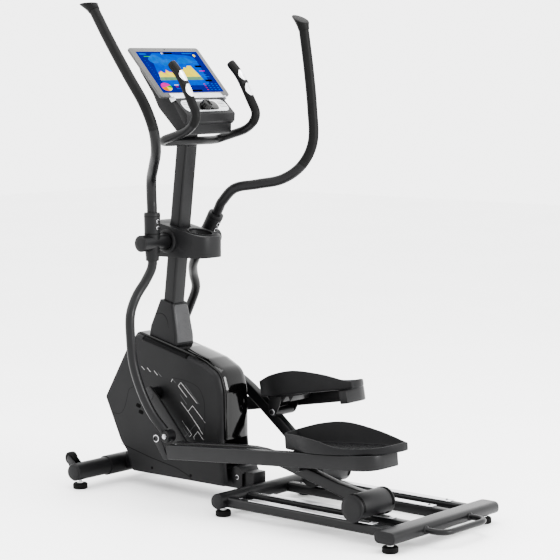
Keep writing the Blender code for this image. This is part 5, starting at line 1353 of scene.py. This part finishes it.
# ------------------------------------------------------------------ fixed handlebar
BAR_RUN = [
    (0.3345, 0.0450, 1.1890), (0.3275, 0.1000, 1.1885), (0.3250, 0.1300, 1.1900), (0.3430, 0.1445, 1.1975),
    (0.3800, 0.1470, 1.2080), (0.4380, 0.1470, 1.2255), (0.4740, 0.1470, 1.2510), (0.4850, 0.1470, 1.2830),
    (0.4640, 0.1460, 1.3250), (0.4200, 0.1450, 1.4000), (0.3770, 0.1440, 1.4460),
]


class TRAINER_OT_handlebar(bpy.types.Operator):
    """Fixed handlebar with its foam grips and pulse sensor plates"""

    bl_idname = "trainer.handlebar"
    bl_label = "Fixed handlebar"

    def execute(self, context):
        points = [at(x, -y, z) for x, y, z in reversed(BAR_RUN)] + [at(0.3345, 0, 1.1890)]
        points += [at(x, y, z) for x, y, z in BAR_RUN]
        line = through(points, 8)
        loft("fixed_bar", tube_rings(line, 0.0142, 24), "powder_coated_steel", "frame", 50,
            ("fixed_handlebar",))
        for side, sign in SIDES:
            run = line if sign < 0 else list(reversed(line))
            part = run[:34]
            radii = [0.0150] * len(part)
            radii[0] = 0.0135
            radii[1] = 0.0150
            radii[-1] = 0.0144
            parts = [loft("grip", tube_rings(part, radii, 24), "foam_grip", "frame", 50)]
            for start, end in ((6, 10), (11, 15)):
                parts.append(self.plate(run, start, end, 0.0152, 58, "sensor_steel"))
            parts.append(self.plate(run, 10, 11, 0.0153, 60, "moulded_abs"))
            joined(f"fixed_grip_{side}", parts)
        return {"FINISHED"}

    def plate(self, line, start, end, radius, spread, finish):
        """A thin plate wrapped over the user's side of the bar."""
        rings = []
        for i in range(start, end + 1):
            heading = (line[i + 1] - line[i - 1]).normalized()
            out = Vector((0.9, -0.10, 0.45))
            out = (out - heading * out.dot(heading)).normalized()
            other = heading.cross(out)
            t = (i - start) / max(1, end - start)
            reach = radians(spread) * (1.0 if end - start < 2 else max(0.25, sin(pi * (0.12 + 0.76 * t))))
            ring = []
            for r, order in ((radius + 0.0009, range(9)), (radius - 0.0008, range(8, -1, -1))):
                for k in order:
                    a = -reach + 2 * reach * k / 8
                    ring.append(line[i] + (out * cos(a) + other * sin(a)) * r)
            rings.append(ring)
        return loft("plate", rings, finish, "frame", 40)


# ------------------------------------------------------------------ panel and registration
class TRAINER_PT_panel(bpy.types.Panel):
    """Lists the builders of the trainer"""

    bl_label = "Elliptical trainer"
    bl_idname = "TRAINER_PT_panel"
    bl_space_type = "VIEW_3D"
    bl_region_type = "UI"
    bl_category = "Trainer"

    def draw(self, context):
        for builder in BUILDERS:
            self.layout.operator(builder.bl_idname)
        sizes = context.scene.trainer_sizes
        for name in sizes.__annotations__:
            self.layout.prop(sizes, name)


BUILDERS = (
    TRAINER_OT_stage, TRAINER_OT_base, TRAINER_OT_housing, TRAINER_OT_mast, TRAINER_OT_swing_arms,
    TRAINER_OT_linkage, TRAINER_OT_pedals, TRAINER_OT_console, TRAINER_OT_handlebar,
)
CLASSES = (TrainerSizes,) + BUILDERS + (TRAINER_PT_panel,)


def register():
    for cls in CLASSES:
        bpy.utils.register_class(cls)
    bpy.types.Scene.trainer_sizes = bpy.props.PointerProperty(type=TrainerSizes)


def unregister():
    del bpy.types.Scene.trainer_sizes
    for cls in reversed(CLASSES):
        bpy.utils.unregister_class(cls)


def main():
    register()
    for builder in BUILDERS:
        area, verb = builder.bl_idname.split(".")
        getattr(getattr(bpy.ops, area), verb)()


if __name__ == "__main__":
    main()
